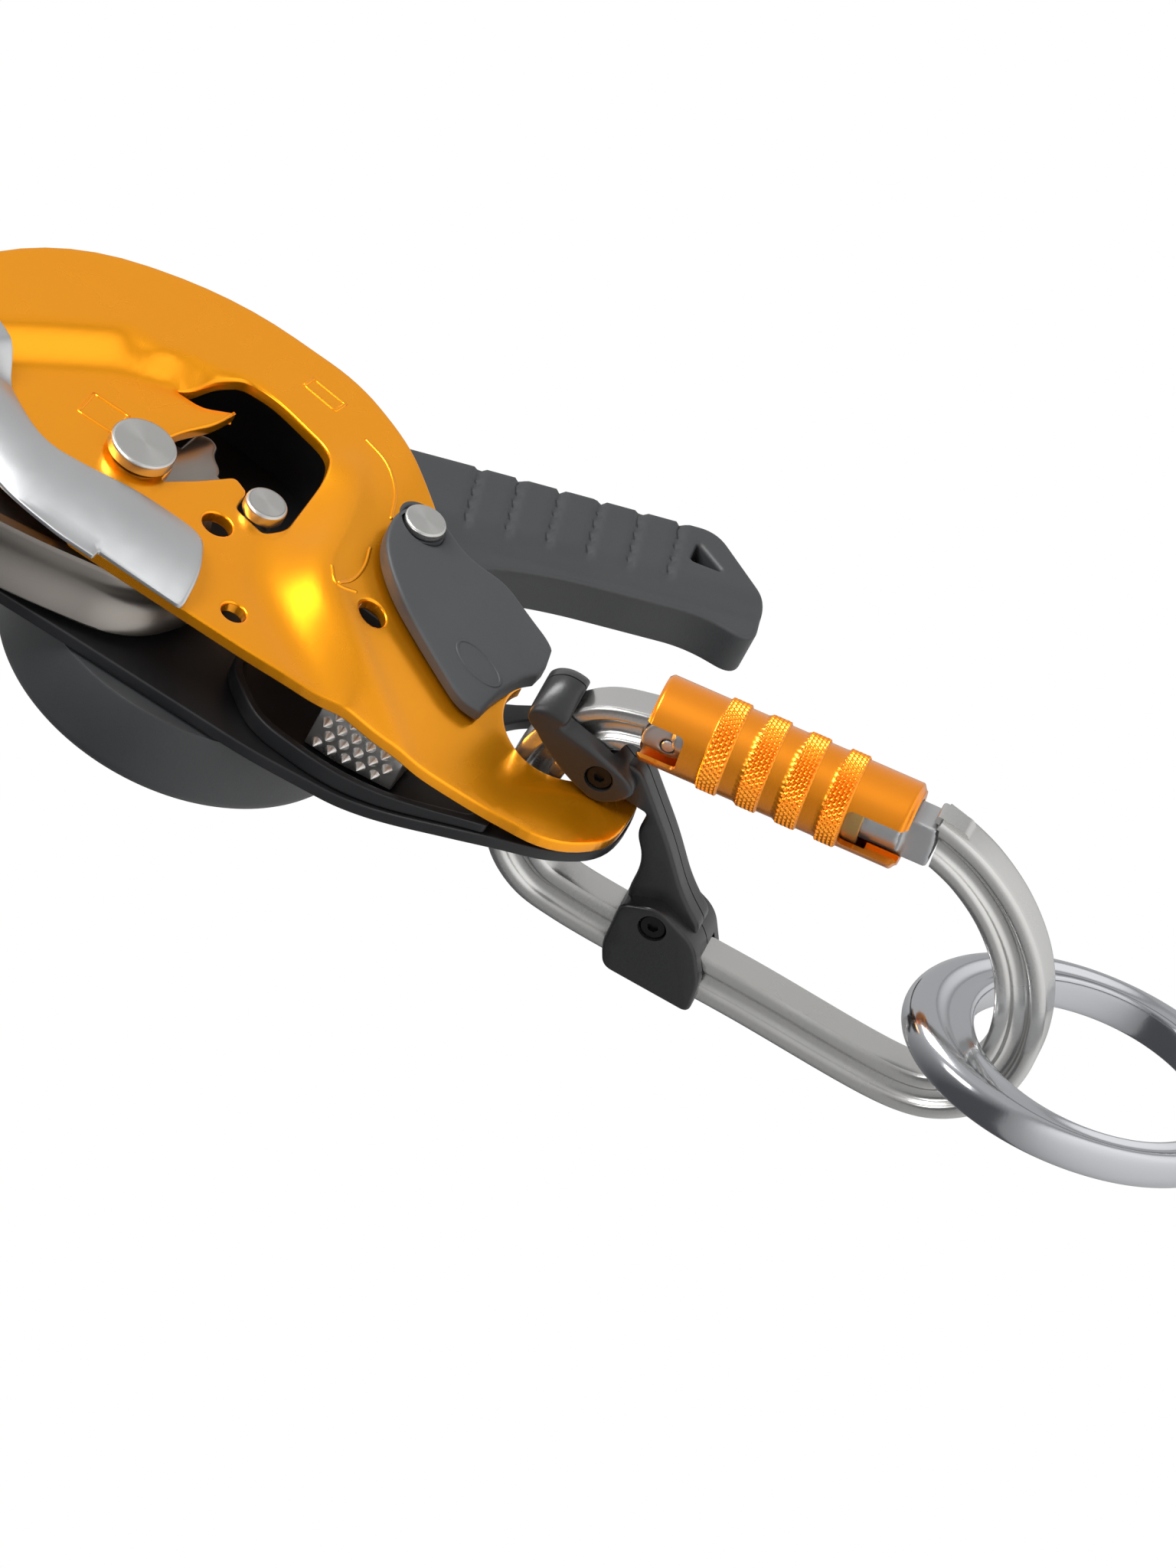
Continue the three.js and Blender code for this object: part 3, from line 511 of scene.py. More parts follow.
def sheet(border, holes, thickness, edge=0.4, grid=2.2, step=1.0):
    """A flat sheet from c = 0 up to `thickness`, with evenly meshed faces and rounded edges.

    The faces are triangulated inside loops pulled in by `edge`. Rounded walls join them round each loop.
    """
    loops = []
    for points, outward in [(border, True)] + [(hole, False) for hole in holes]:
        loop = spaced(points, step)
        if turns_left(loop) != outward:
            loop.reverse()
        loops.append(loop)
    normals = [loop_normals(loop) for loop in loops]
    pulled = [[p - edge * n for p, n in zip(loop, turn)] for loop, turn in zip(loops, normals)]
    flat, edges = [], []
    for loop in pulled:
        start = len(flat)
        flat += loop
        edges += [(start + i, start + (i + 1) % len(loop)) for i in range(len(loop))]
    rim = len(flat)
    low = [min(p[k] for p in loops[0]) for k in (0, 1)]
    high = [max(p[k] for p in loops[0]) for k in (0, 1)]
    rows = int((high[1] - low[1]) / (0.87 * grid)) + 1
    columns = int((high[0] - low[0]) / grid) + 2
    for row in range(rows):
        for column in range(columns):
            x = low[0] + (column + 0.5 * (row % 2)) * grid
            y = low[1] + row * 0.87 * grid
            if within((x, y), loops) and min(math.hypot(p.x - x, p.y - y) for p in flat[:rim]) > 0.7 * step:
                flat.append(Vector((x, y)))
    points, _, triangles, *_ = delaunay_2d_cdt(flat, edges, [], 0, 1e-5)
    kept = [t for t in triangles if within(sum((points[i] for i in t), Vector((0, 0))) / 3, pulled)]
    count = len(points)
    corners = [(p.x, p.y, 0) for p in points] + [(p.x, p.y, thickness) for p in points]
    faces = [tuple(reversed(t)) for t in kept] + [tuple(count + i for i in t) for t in kept]
    turns = [math.radians(15 * k) for k in range(7)]
    curve = [(edge * (math.sin(turn) - 1), edge * (1 - math.cos(turn))) for turn in turns]
    walls = [(0, mix(edge, thickness - edge, k / 8)) for k in range(1, 8)] if thickness > 6 else []
    profile = curve + walls + [(out, thickness - up) for out, up in reversed(curve)]
    for loop, turn in zip(loops, normals):
        start = len(corners)
        for out, up in profile:
            corners += [(p.x + out * n.x, p.y + out * n.y, up) for p, n in zip(loop, turn)]
        faces += stitched(len(profile), len(loop), start=start)
    return raw(corners, faces)


def polar(at, radius, turn):
    return at[0] + radius * math.cos(turn), at[1] + radius * math.sin(turn)


def circle(at, radius, sides=64):
    return [polar(at, radius, 2 * math.pi * i / sides) for i in range(sides)]


def drum(at, low, high, radius, sides=64):
    return prism(circle(at, radius, sides), low, high)


def turned(at, profile, sides=72):
    """A turned piece along c. The profile's (radius, c) points start and end on the axis, or close."""
    closed = profile[0] == profile[-1]
    rows = profile[:-1] if closed else profile
    corners = [(*point, c) for radius, c in rows for point in circle(at, radius, sides)]
    return raw(corners, stitched(len(rows), sides, closed))


def tube(at, low, high, outer, inner, edge=0.25, sides=72):
    """A washer-like ring with small chamfers."""
    return turned(at, [
        (outer - edge, low), (outer, low + edge), (outer, high - edge), (outer - edge, high),
        (inner + edge, high), (inner, high - edge), (inner, low + edge), (inner + edge, low),
        (outer - edge, low),
    ], sides)


def catmull(points, steps):
    """Points spaced evenly along a centripetal Catmull-Rom curve through the given ones."""
    given = [Vector(p) for p in points]
    given = [2 * given[0] - given[1]] + given + [2 * given[-1] - given[-2]]
    dense = []
    for p0, p1, p2, p3 in zip(given, given[1:], given[2:], given[3:]):
        t1 = (p1 - p0).length ** 0.5
        t2 = t1 + (p2 - p1).length ** 0.5
        t3 = t2 + (p3 - p2).length ** 0.5
        for k in range(24):
            t = t1 + (t2 - t1) * k / 24
            a1 = p0 * ((t1 - t) / t1) + p1 * (t / t1)
            a2 = p1 * ((t2 - t) / (t2 - t1)) + p2 * ((t - t1) / (t2 - t1))
            a3 = p2 * ((t3 - t) / (t3 - t2)) + p3 * ((t - t2) / (t3 - t2))
            b1 = a1 * ((t2 - t) / t2) + a2 * (t / t2)
            b2 = a2 * ((t3 - t) / (t3 - t1)) + a3 * ((t - t1) / (t3 - t1))
            dense.append(b1 * ((t2 - t) / (t2 - t1)) + b2 * ((t - t1) / (t2 - t1)))
    dense.append(given[-2])
    lengths = [0]
    for p, q in zip(dense, dense[1:]):
        lengths.append(lengths[-1] + (q - p).length)
    even = []
    reach = 0
    for k in range(steps + 1):
        goal = lengths[-1] * k / steps
        while reach < len(dense) - 2 and lengths[reach + 1] < goal:
            reach += 1
        t = (goal - lengths[reach]) / max(1e-9, lengths[reach + 1] - lengths[reach])
        even.append(dense[reach].lerp(dense[reach + 1], min(1, t)))
    return even


def swept(path, section):
    """A section of (across, outward) points along a flat path of (x, y) points."""
    count = len(section)
    corners = []
    for i, point in enumerate(path):
        run = (path[min(i + 1, len(path) - 1)] - path[max(i - 1, 0)]).normalized()
        side = Vector((-run.y, run.x))
        for z, w in section:
            corners.append((point.x + side.x * w, point.y + side.y * w, z))
    caps = [tuple(range(count)), tuple(range(len(corners) - 1, len(corners) - count - 1, -1))]
    return raw(corners, stitched(len(path), count) + caps)


def warp(piece, move):
    for corner in piece.data.vertices:
        corner.co = move(*corner.co)
    return piece


def add_piece(name, piece, paint, body, slot, *nodes, place=DEVICE, sharp=35):
    """Places a piece in the row frame, gives it its looks, hangs it on its body and hides the CAD nodes it
    stands for.
    """
    piece.name = name
    piece.data.name = name
    piece.data.transform(place)
    piece.data.materials.clear()
    piece.data.materials.append(paint.material)
    faces = len(piece.data.polygons)
    piece.data.polygons.foreach_set("material_index", [0] * faces)
    piece.data.polygons.foreach_set("use_smooth", [True] * faces)
    piece.data.set_sharp_from_angle(angle=math.radians(sharp))
    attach(piece, body)
    if nodes:
        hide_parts(*nodes)


# ---------- the pressed side plates ----------

FOOT = catmull(FOOT_LINE, 120)
FOOT_STARTS = np.array([tuple(p) for p in FOOT[:-1]])
FOOT_RUNS = np.array([tuple(q - p) for p, q in zip(FOOT, FOOT[1:])])


def smooth_all(t):
    u = np.clip(t, 0, 1)
    return u * u * (3 - 2 * u)


def front_tops(points):
    """Front face of the front plate at each (a, b): flat round the axles, raised beyond the foot line."""
    away = points[:, None, :] - FOOT_STARTS
    t = np.clip((away * FOOT_RUNS).sum(2) / (FOOT_RUNS**2).sum(1), 0, 1)
    away -= t[..., None] * FOOT_RUNS
    distance = np.hypot(away[..., 0], away[..., 1])
    nearest = distance.argmin(1)
    rows = np.arange(len(points))
    side = FOOT_RUNS[nearest, 0] * away[rows, nearest, 1] - FOOT_RUNS[nearest, 1] * away[rows, nearest, 0]
    beyond = np.where(side < 0, -1, 1) * distance[rows, nearest]
    raised = RAISED_TOP + (TIP_TOP - RAISED_TOP) * smooth_all((points[:, 0] - 38) / 60)
    rise = 2.5 + 10 * smooth_all((points[:, 0] - 22) / 14) + 6 * smooth_all((-8 - points[:, 0]) / 10)
    low = np.minimum(LOW_TOP, raised)
    # A rounded crest where the slope ends, and a shallow valley at its foot.
    shown = smooth_all((points[:, 0] - 26) / 9) * (1 - smooth_all((points[:, 0] - 66) / 26))
    crest = CREST * np.exp(-(((beyond - rise) / 3) ** 2)) - VALLEY * np.exp(-(((beyond + 0.5) / 3.2) ** 2))
    return low + (raised - low) * smooth_all(beyond / rise) + crest * shown


def even_tops(points):
    """The same face, evened out as a press would leave it."""
    total = front_tops(points)
    for reach in (0.7, 1.4):
        for k in range(6):
            total = total + front_tops(points + np.array(polar((0, 0), reach, math.pi / 3 * (k + reach))))
    return total / 13


def rear_inner(a):
    return -mix(INNER, TIP_INNER, along(a, REAR_SLOPE))


FRONT_OUTLINE = [
    (-53, -27.6, 20), (-1.5, -27.6, 1.5), (0.5, -30.9, 1.2), (50, -30.6, 14), (74, -26.4, 8),
    (92, -20.8, 8), (108.5, -18.7, 7), (117.4, -8, 6), (116.6, 6, 5), (113.5, 13, 5), (109, 20.2, 3),
    (104.4, 17.4), (98, 12), (86, 12), (84, 14.8, 1.5), (70, 16.5, 8), (50, 33.5, 6), (38.5, 43.2, 7),
    (24, 50.2, 7), (-6, 51.5, 16), (-38, 38, 18), (-56, 6, 18),
]
WINDOW = [
    (8.9, 27.4, 0.4), (7.4, 21, 3), (3.4, 13.5, 3), (1.8, 8.6, 1), (6.7, 3, 1), (6.7, -2.2, 1), (12, 4, 2),
    (17, 11, 1.5), (20.6, 9.1, 1), (21.2, 3.2, 1), (28, 1.4, 1), (31.4, 5, 1.5), (31.1, 21, 4),
    (28.5, 27.4, 4), (13.5, 31.8, 4), (7, 31.6, 2), (-2.8, 22.9, 0.8), (3, 23, 2),
]
REAR_OUTLINE = [
    (-51, -32, 18), (11, -29.6, 5), (50, -28.6, 5), (66, -26.4, 5), (80, -24.2, 5), (96, -21, 6),
    (107, -16.5, 5), (116.5, -7, 7), (117.5, 5, 8), (112, 24, 9), (97, 30.5, 8), (80, 19, 8), (62, 20, 8),
    (44, 34.5, 8), (23, 48.5, 8), (-6, 50, 16), (-37, 37, 18), (-54, 6, 18),
]
BRAKE_RIVETS = [(-22, -20), (10, -22)]
PLATE_HOLES = [
    circle(CAM_AXLE, 3.7, 40), circle(GATE_RIVET, 2.7, 32), circle((20.4, -3.9), 3.1, 48),
    circle((34, -23.2), 2.55, 48), circle((54.8, -3.4), 3, 48),
]


def press(piece, lift=0.0):
    """Lays a flat piece on the front plate's face."""
    corners = np.array([tuple(corner.co) for corner in piece.data.vertices])
    corners[:, 2] += even_tops(corners[:, :2]) + lift
    piece.data.vertices.foreach_set("co", corners.ravel())


def with_hook(points):
    """The plate's outline with the hook's round mouth cut into it."""
    at, radius = Vector(HOOK[0]), HOOK[1]
    points = [Vector(p) for p in points]
    within = [(p - at).length < radius for p in points]
    first = next(i for i, held in enumerate(within) if held and not within[i - 1])
    points = points[first:] + points[:first]
    count = (within[first:] + within[:first]).index(False)
    start = math.atan2(*(points[0] - at).yx)
    end = math.atan2(*(points[count - 1] - at).yx) - 2 * math.pi
    arc = [polar(at, radius, start + (end - start) * k / 90) for k in range(91)]
    return arc + [tuple(p) for p in points[count:]]


def side_plate():
    border = with_hook(spaced(outline(FRONT_OUTLINE), 0.5))
    plate = sheet(border, [outline(WINDOW), *PLATE_HOLES], SHEET, 0.55, 1.7)
    press(plate, -SHEET)
    add_piece("side_plate_pressed", plate, GOLD, "swing_plate", "gold_plate", "side_plate", sharp=50)


# Plain marks pressed into the front plate: an arc, a curved arrow and a small framed panel.
MARKS = [
    [(32, 36.5), (38, 34), (43, 28.5), (46, 21)],
    [(46.5, 10.5), (48, 5), (48, 0), (46.4, -4.4)],
    [(43.2, -1.6), (46.2, -4.9), (50, -2.2)],
    [(-14.5, 8.5), (-14.5, 1.5), (-6.5, 1.5), (-6.5, 8.5), (-14.5, 8.5)],
    [(16, 40), (24, 38.6), (24.6, 42), (16.6, 43.2), (16, 40)],
]


def marks():
    for i, route in enumerate(MARKS):
        closed = route[0] == route[-1]
        path = spaced(route[:-1], 1) + [Vector(route[0])] if closed else catmull(route, 40)
        line = swept(path, [(-0.4, 0), (-0.1, -0.42), (0.12, -0.3), (0.24, 0), (0.12, 0.3), (-0.1, 0.42)])
        press(line)
        line.data.flip_normals()
        add_piece(f"plate_mark_{i + 1}", line, GOLD, "swing_plate", "gold_plate", sharp=180)


def fixed_plate():
    pivots = [circle(CAM_AXLE, 3.7, 40), circle(HANDLE_AXLE, 3.2, 40), circle(CATCH_PIN, 2.1, 32)]
    plate = sheet(outline(REAR_OUTLINE), [circle(*HOOK, 96), *pivots], SHEET, 0.5, 4)
    warp(plate, lambda a, b, c: (a, b, rear_inner(a) - SHEET + c))
    wall = sheet(outline([
        (-34, 37.5, 1), (-6, 48.6, 14), (23, 47, 8), (42, 34.8, 0.6), (40.6, 32.8, 0.6), (22, 44.4, 7),
        (-6, 46, 13), (-33, 35.3, 1),
    ]), [], 17.5, 0.5, 4)
    wall.data.transform(Matrix.Translation((0, 0, -10.5)))
    add_piece("fixed_plate_pressed", plate, BLACK, "frame", "black_plate", "fixed_plate")
    add_piece("fixed_plate_wall", wall, BLACK, "frame", "black_plate", "fixed_plate")


def auxiliary_brake():
    """The convex brake along the front plate's left edge."""
    thickness = 4.2
    reach = 4
    plate = sheet(outline([
        (26.2, -32.2, 1.5), (25.2, -24.4, 4), (20, -11.6, 5), (6, -10.6, 6), (-4, -14.6, 7),
        (-15, -16.4, 6), (-25, -8, 7), (-32, 2, 7), (-46, 8, 3), (-52, -12, 6), (-36, -24.4, 8),
        (-12, -32.4, 6), (-1, -34, 2), (6.8, -34, 0.4), (6.9, -31.8, 0.4),
    ]), [], thickness, 0.8, 1.6)

    def crown(a, b, c):
        corners = [(a, b), (a - reach, b), (a, b + reach), (a - reach, b + reach)]
        under = 1.3 * GAP + float(front_tops(np.array(corners)).max())
        middle = mix(-21, -9, smooth((-10 - a) / 40))
        top = max(1.1, thickness - 0.026 * (b - middle) ** 2)
        return a, b, under + c / thickness * top

    warp(plate, crown)
    add_piece("brake_shell", plate, SATIN, "swing_plate", "satin_brake", "auxiliary_brake", sharp=60)


def gate_cap():
    thickness = 4.7
    reach = 88.3
    border = []
    for x, y in outline([
        (46.2, 19, 6), (50, 27.6, 5), (62.5, 24.4, 4), (70.9, 27.8, 3), (84.5, 24.4, 3), (89, 18.6, 0.5),
        (84.6, 12, 3), (82.8, 3, 4), (82.4, -4.2, 1), (78, -5.7, 3), (66, -2, 6), (55.5, 2, 6),
        (48.2, 9, 5),
    ], 8):
        short = min(1, reach / math.hypot(x, y))
        border.append((x * short, y * short))
    cap = sheet(border, [circle(GATE_RIVET, 4.6, 48)], thickness, 0.9, 1.4, 0.8)

    def clear(a, b):
        """Just above the plate at every angle that the gate opens to."""
        arm = Vector((a, b)) - Vector(GATE_RIVET)
        start = math.atan2(arm.y, arm.x)
        met = [polar(GATE_RIVET, arm.length, start + math.radians(degrees)) for degrees in range(0, 26, 5)]
        return float(front_tops(np.array(met)).max()) + 2 * GAP

    def top(a, b):
        raised = smooth((b - 15 + 0.1 * (a - 66)) / 5) * smooth((a - 56) / 10)
        dished = 0.5 * (1 - raised) * smooth((a - 56) / 8)
        plate = float(front_tops(np.array([[a, 21]]))[0])
        return plate + GAP + thickness - 0.004 * (b - 11) ** 2 - dished

    warp(cap, lambda a, b, c: (a, b, mix(clear(a, b), top(a, b), c / thickness)))
    turns = [math.radians(4 * k) for k in range(91)]
    ring = [Vector((76.4 + 5.4 * math.cos(turn), 4.4 + 3.1 * math.sin(turn))) for turn in turns]
    panel = swept(ring, [(-0.4, 0), (-0.1, -0.42), (0.2, -0.2), (0.2, 0.2), (-0.1, 0.42)])
    warp(panel, lambda a, b, c: (a, b, top(a, b) + c))
    collar = turned(GATE_RIVET, [(2.7, 15), (4.7, 15), (4.7, 19.3), (2.7, 19.3), (2.7, 15)], 48)
    for name, piece in (("gate_cover_panel", panel), ("gate_cover", cap), ("gate_cover_seat", collar)):
        add_piece(name, piece, GATE_PLASTIC, "gate", "gate_plastic", "gate_cap")


# ---------- studs, rivets and small turned pieces ----------


def stud_profile(radius, head, top, under=LOW_TOP + GAP, rear=-LOW_TOP + GAP / 2):
    edge = 0.7
    rounding = [polar((head - edge, top - edge), edge, math.pi / 2 * k / 5) for k in range(6)]
    face = [(head * part, top) for part in (0.85, 0.6, 0.3)]
    neck = head - 1.3
    foot = [(0, rear), (radius, rear), (radius, under), (neck, under), (neck, top - 3.1), (head, top - 2.5)]
    return [*foot, *rounding, *face, (0, top)]


def studs():
    rivet = [
        (0, 9.6), (4, 9.6), (4, 10.8), (2.4, 10.8), (2.4, 19.7), (4.3, 19.7), (4.3, 20.8), (4.15, 21.05),
        (3.9, 21.2), (3, 21.2), (1.5, 21.2), (0, 21.2),
    ]
    for name, at, profile, body, node in (
        ("cam_stud", CAM_AXLE, stud_profile(3.4, 6.8, 16.15), "frame", "cam_axle"),
        ("handle_stud", HANDLE_AXLE, stud_profile(2.9, 4.35, 15), "frame", "frame_stud"),
        ("gate_pin", GATE_RIVET, rivet, "swing_plate", "gate_rivet"),
    ):
        piece = turned(at, profile)
        # The object's own origin is on its axis, so that the lathe marks can be drawn round it.
        piece.location = DEVICE @ Vector((*at, 0))
        place = Matrix.Translation(-piece.location) @ DEVICE
        add_piece(name, piece, TURNED, body, "turned_studs", node, place=place, sharp=25)


def small_turned():
    for i, at in enumerate(BRAKE_RIVETS):
        profile = [(0, 8), (2.7, 8), (3, 8.3), (3, 9.1), (1.8, 9.1), (1.8, 13.6), (1.6, 13.8), (0, 13.8)]
        node = f"brake_rivet_{i + 1}"
        add_piece(f"brake_pin_{i + 1}", turned(at, profile), STAINLESS, "swing_plate", "stainless", node)
    bush = tube(CAM_AXLE, -7.5, 7.5, 5.1, 3.7)
    add_piece("cam_bearing", bush, BRONZE, "cam_body", "bronze", "cam_bush")
    pin = turned(CATCH_PIN, [(0, -11), (1.6, -11), (1.8, -10.8), (1.8, 5), (1.6, 5.2), (0, 5.2)])
    add_piece("catch_axle", pin, STAINLESS, "frame", "stainless", "catch_pin")


# ---------- cam, wedge and catch ----------

CAM_MIDDLE = Vector((-2, -10))
CAM_HALF = 7.5


def cam_layer(low, high, scale, steps=24):
    """The cam's outline stacked from low to high, with scale(c) for each layer's size."""
    border = spaced(outline([
        (27.5, -7, 9), (19, -25.5, 10), (-6, -32.4, 8), (-25, -35.6, 7), (-30, -22, 9), (-22, -4, 9),
        (-10, 12, 9), (8, 17, 9), (24, 10, 8),
    ], 12), 1.2)
    corners = []
    for step in range(steps + 1):
        c = mix(low, high, step / steps)
        corners += [(*(CAM_MIDDLE + (p - CAM_MIDDLE) * scale(c)), c) for p in border]
    total = len(border)
    caps = [tuple(range(total - 1, -1, -1)), tuple(range(len(corners) - total, len(corners)))]
    return raw(corners, stitched(steps + 1, total) + caps)


def cam():
    def hollow(c):
        rounding = 0.022 * (1 - smooth((CAM_HALF - abs(c)) / 0.7))
        return 1 - 0.085 * math.sin(math.pi * smooth((c + CAM_HALF - 0.8) / (2 * CAM_HALF - 2))) - rounding

    room = prism(outline([(19, 1, 2), (23, -5, 1), (32, -2), (32, 30), (14, 30), (15.5, 12, 2)]), -9, 9)
    block = cam_layer(0.06 - CAM_HALF, CAM_HALF - 0.06, hollow, 48)
    cut(block, cam_layer(CAM_HALF - 1.8, CAM_HALF + 1, lambda c: 0.88), room)
    thumb = sheet(outline([
        (-3, -3, 2), (12, -2, 3), (13.5, 10, 4), (13.4, 16, 1.5), (10.2, 19, 1.5), (9.6, 22, 1),
        (7.4, 23, 1), (4.6, 22, 1), (3.6, 10, 4),
    ]), [], 2 * CAM_HALF, 1.0, 3)
    thumb.data.transform(Matrix.Translation((0, 0, -CAM_HALF)))
    boss = tube(CAM_AXLE, 0.1 - CAM_HALF, CAM_HALF - 0.1, 9, 5.4, 0.5, 96)
    for piece in (block, thumb):
        cut(piece, drum(CAM_AXLE, -9, 9, 5.4))
    for name, piece in (("cam_block", block), ("cam_boss", boss), ("cam_thumb", thumb)):
        add_piece(name, piece, NICKEL, "cam_body", "nickel_cam", "cam")


def friction_wedge():
    low, high = -INNER + GAP, INNER - 3
    border = outline([(40, 8, 2), (58, 6, 2), (60, 15, 3), (48, 31, 4), (39, 29, 3)])
    wedge = sheet(border, [], high - low, 0.8, 3)
    wedge.data.transform(Matrix.Translation((0, 0, low)))
    add_piece("wedge_block", wedge, NICKEL, "frame", "nickel_cam", "friction_wedge")


def pocket_rim():
    height = 4
    rim = sheet(outline([
        (36.4, -6, 1), (36.8, -15, 4), (47, -25, 6), (62, -26, 4), (78, -23.8, 3), (96, -20.4, 1),
        (95, -13, 1), (93, -13.4, 0.5), (92, -18.8, 1.5), (78, -22, 3), (62, -24.2, 3), (48, -23.2, 5),
        (38.6, -14.5, 4), (38, -6, 0.4),
    ]), [], height, 0.5, 4)

    def stand(a, b, c):
        return a, b, rear_inner(a) + GAP + c * (1 - 0.5 * along(a, (60, 98)))

    warp(rim, stand)
    add_piece("pocket_wall", rim, BLACK, "frame", "black_plate", "pocket_rim")


def toothed_catch():
    face, back = -18.6, -4.5
    profile = [(57, -9), (64, -9), (76, -7.4), (76, 4.2), (57, 7.6)]
    block = prism(profile, 0, back - face)
    block.data.transform(Matrix.Translation((0, back, 0)) @ Matrix.Rotation(math.pi / 2, 4, "X"))
    relief = prism(outline([(50, 2), (50, -12), (62, -4.4), (66, 2)]), -12, 12)
    cut(block, drum(CATCH_PIN, -12, 12, 2.1), relief)
    pitch, radius, height = 3.2, 1.2, 1.7
    teeth = []
    for row in range(4):
        for column in range(5):
            a = 57 + 2.2 + (column + (row % 2) / 2) * pitch
            c = -7.3 + row * pitch * 0.87 + (column + (row % 2) / 2) * 0.27
            if a > 75.2:
                continue
            profile = [(0, -0.4), (radius + 0.1, -0.4), (radius, 0), (0.12, height - 0.1), (0, height)]
            cone = turned((0, 0), profile, 20)
            cone.data.transform(Matrix.Translation((a, face, c)) @ Matrix.Rotation(math.pi / 2, 4, "X"))
            teeth.append(cone)
    bevelled(block)
    settle(block)
    join(block, *teeth)
    add_piece("catch_block", block, STAINLESS, "catch_body", "stainless", "toothed_catch")


# ---------- handle ----------


def handle():
    axle = 4.9
    turns = [math.pi / 2 * k / 16 for k in range(17)]
    edge = [(HUB_RADIUS - 9.9 + 9.9 * math.cos(turn), -28 - 6 * math.sin(turn)) for turn in turns]
    hub = turned(HANDLE_AXLE, [
        (axle, -15.15), (10, -15.15), (10.2, -12.95), (12.8, -12.95), (13, -13.2), (13, -20), (22, -20),
        (22, -13.2), (22.2, -12.95), (HUB_RADIUS - 0.6, -12.95), (HUB_RADIUS - 0.17, -13.13),
        (HUB_RADIUS, -13.55), *edge, (13.6, -34), (13.2, -33.6), (13.2, -24.5), (axle, -24.5),
        (axle, -15.15),
    ], 160)
    thickness = 14
    string_hole = outline([(90.5, 104, 1), (97.8, 100.6, 1), (91.4, 98.4, 1)])
    lever = sheet(outline([
        (-8, 22, 6), (0, 52, 10), (16, 69, 10), (40, 82.6, 8), (92, 110.5, 4), (108.5, 100.6, 4),
        (111.8, 89, 5), (100, 88, 5), (72, 72.5, 10), (57, 60, 14), (52, 20, 8),
    ], 10), [string_hole], thickness, 1.1, 1.1)
    grip = Vector((83.6, 46.9)).normalized()  # along the grip, from the hub to its tip
    start = Vector((44, 76))

    def mould(a, b, c):
        """Rounds the grip's long sides and cuts six finger grooves across it."""
        away = Vector((a, b)) - start
        place = away.dot(grip)
        across = away.dot(Vector((-grip.y, grip.x)))
        height = c - thickness / 2
        beyond = max(0, abs(across + 1.0) - 7) / 6
        height *= 1 - 0.28 * min(1, beyond) ** 2 * smooth(place / 12 + 1)
        groove = max(1 - smooth(abs(place - (6.5 + 8.6 * i) - 0.25 * across) / 1.15) for i in range(6))
        if place > 2 and height > 0:
            height -= 1.1 * groove * smooth((12 - abs(across)) / 3)
        return a, b, height + thickness / 2 - 27.1

    warp(lever, mould)
    cut(lever, drum(HANDLE_AXLE, -30, -10, HUB_RADIUS - 1, 160))
    add_piece("handle_hub", hub, HANDLE_PLASTIC, "handle", "handle_plastic", "handle_shell")
    add_piece("handle_lever", lever, HANDLE_PLASTIC, "handle", "handle_plastic", "handle_shell", sharp=50)


def handle_fittings():
    axle = turned(HANDLE_AXLE, [
        (0, -12.65), (7.8, -12.65), (8, -12.85), (8, -14.45), (4.6, -14.45), (4.6, -24.8), (4.4, -25),
        (0, -25),
    ])
    add_piece("handle_shaft", axle, STAINLESS, "frame", "stainless", "handle_axle")
    washer = tube(HANDLE_AXLE, -26.6, -25.3, 9.5, 2.3)
    add_piece("handle_ring", washer, STAINLESS, "frame", "stainless", "handle_washer")
    cap = tube(HANDLE_AXLE, -34.6, -32, 12.9, 6.9, 0.4, 96)
    places = [polar(HANDLE_AXLE, 9.9, math.radians(degrees)) for degrees in (90, 210, 330)]
    cut(cap, *[drum(at, -36, -31, 1.4, 32) for at in places])
    add_piece("hub_cover", cap, HANDLE_PLASTIC, "handle", "handle_plastic", "hub_cap")
    for i, at in enumerate(places):
        screw = turned(at, [(0, -34.4), (0.9, -34.4), (1.1, -34.2), (1.1, -30), (0, -30)], 32)
        cut(screw, drum(at, -35, -33.7, 0.6, 6))
        add_piece(f"cover_screw_{i + 1}", screw, STAINLESS, "handle", "stainless", f"cap_screw_{i + 1}")
    button = turned(HANDLE_AXLE, [
        (0, -35.9), (2, -36), (4, -36.2), (5.6, -36.4), (6.3, -36.2), (6.6, -35.7), (6.6, -31), (5.2, -31),
        (5.2, -34), (0, -34),
    ], 96)
    add_piece("button_cap", button, BUTTON, "button", "button_plastic", "release_button")


# ---------- connector ----------

BAR_WIDTH, BAR_THICKNESS = 10.4, 8
BODY_ROUTE = [
    (19, 22.6), (14.4, 21.3), (8, 18.4), (3.2, 12.6), (0.5, 5.5), (-0.1, -3), (0.4, -11), (3.2, -18.2),
    (9.2, -22.9), (17, -24.3), (55, -24.4), (91, -24.4), (98, -21.6), (103.8, -15), (105.8, -6),
    (104.4, 4.4), (99.4, 15.4), (91.6, 24.2), (83, 29.8), (76.4, 32.2), (71.6, 33.2),
]
GATE_HINGE = (20, 22.6)
GATE_REACH = 54.2  # from the hinge to the end of the gate
GATE_FROM, GATE_TO = Vector((17.9, 24.4)), Vector((67, 30.7))
GATE_LENGTH = (GATE_TO - GATE_FROM).length
GATE_TURN = math.atan2(GATE_TO.y - GATE_FROM.y, GATE_TO.x - GATE_FROM.x)
ALONG_GATE = (
    Matrix.Translation((*GATE_FROM, 0))
    @ Matrix.Rotation(GATE_TURN, 4, "Z")
    @ Matrix.Rotation(math.pi / 2, 4, "Y")
)


def along_gate(piece):
    """Places a piece drawn along its own c axis along the gate."""
    piece.data.transform(ALONG_GATE)
    return piece


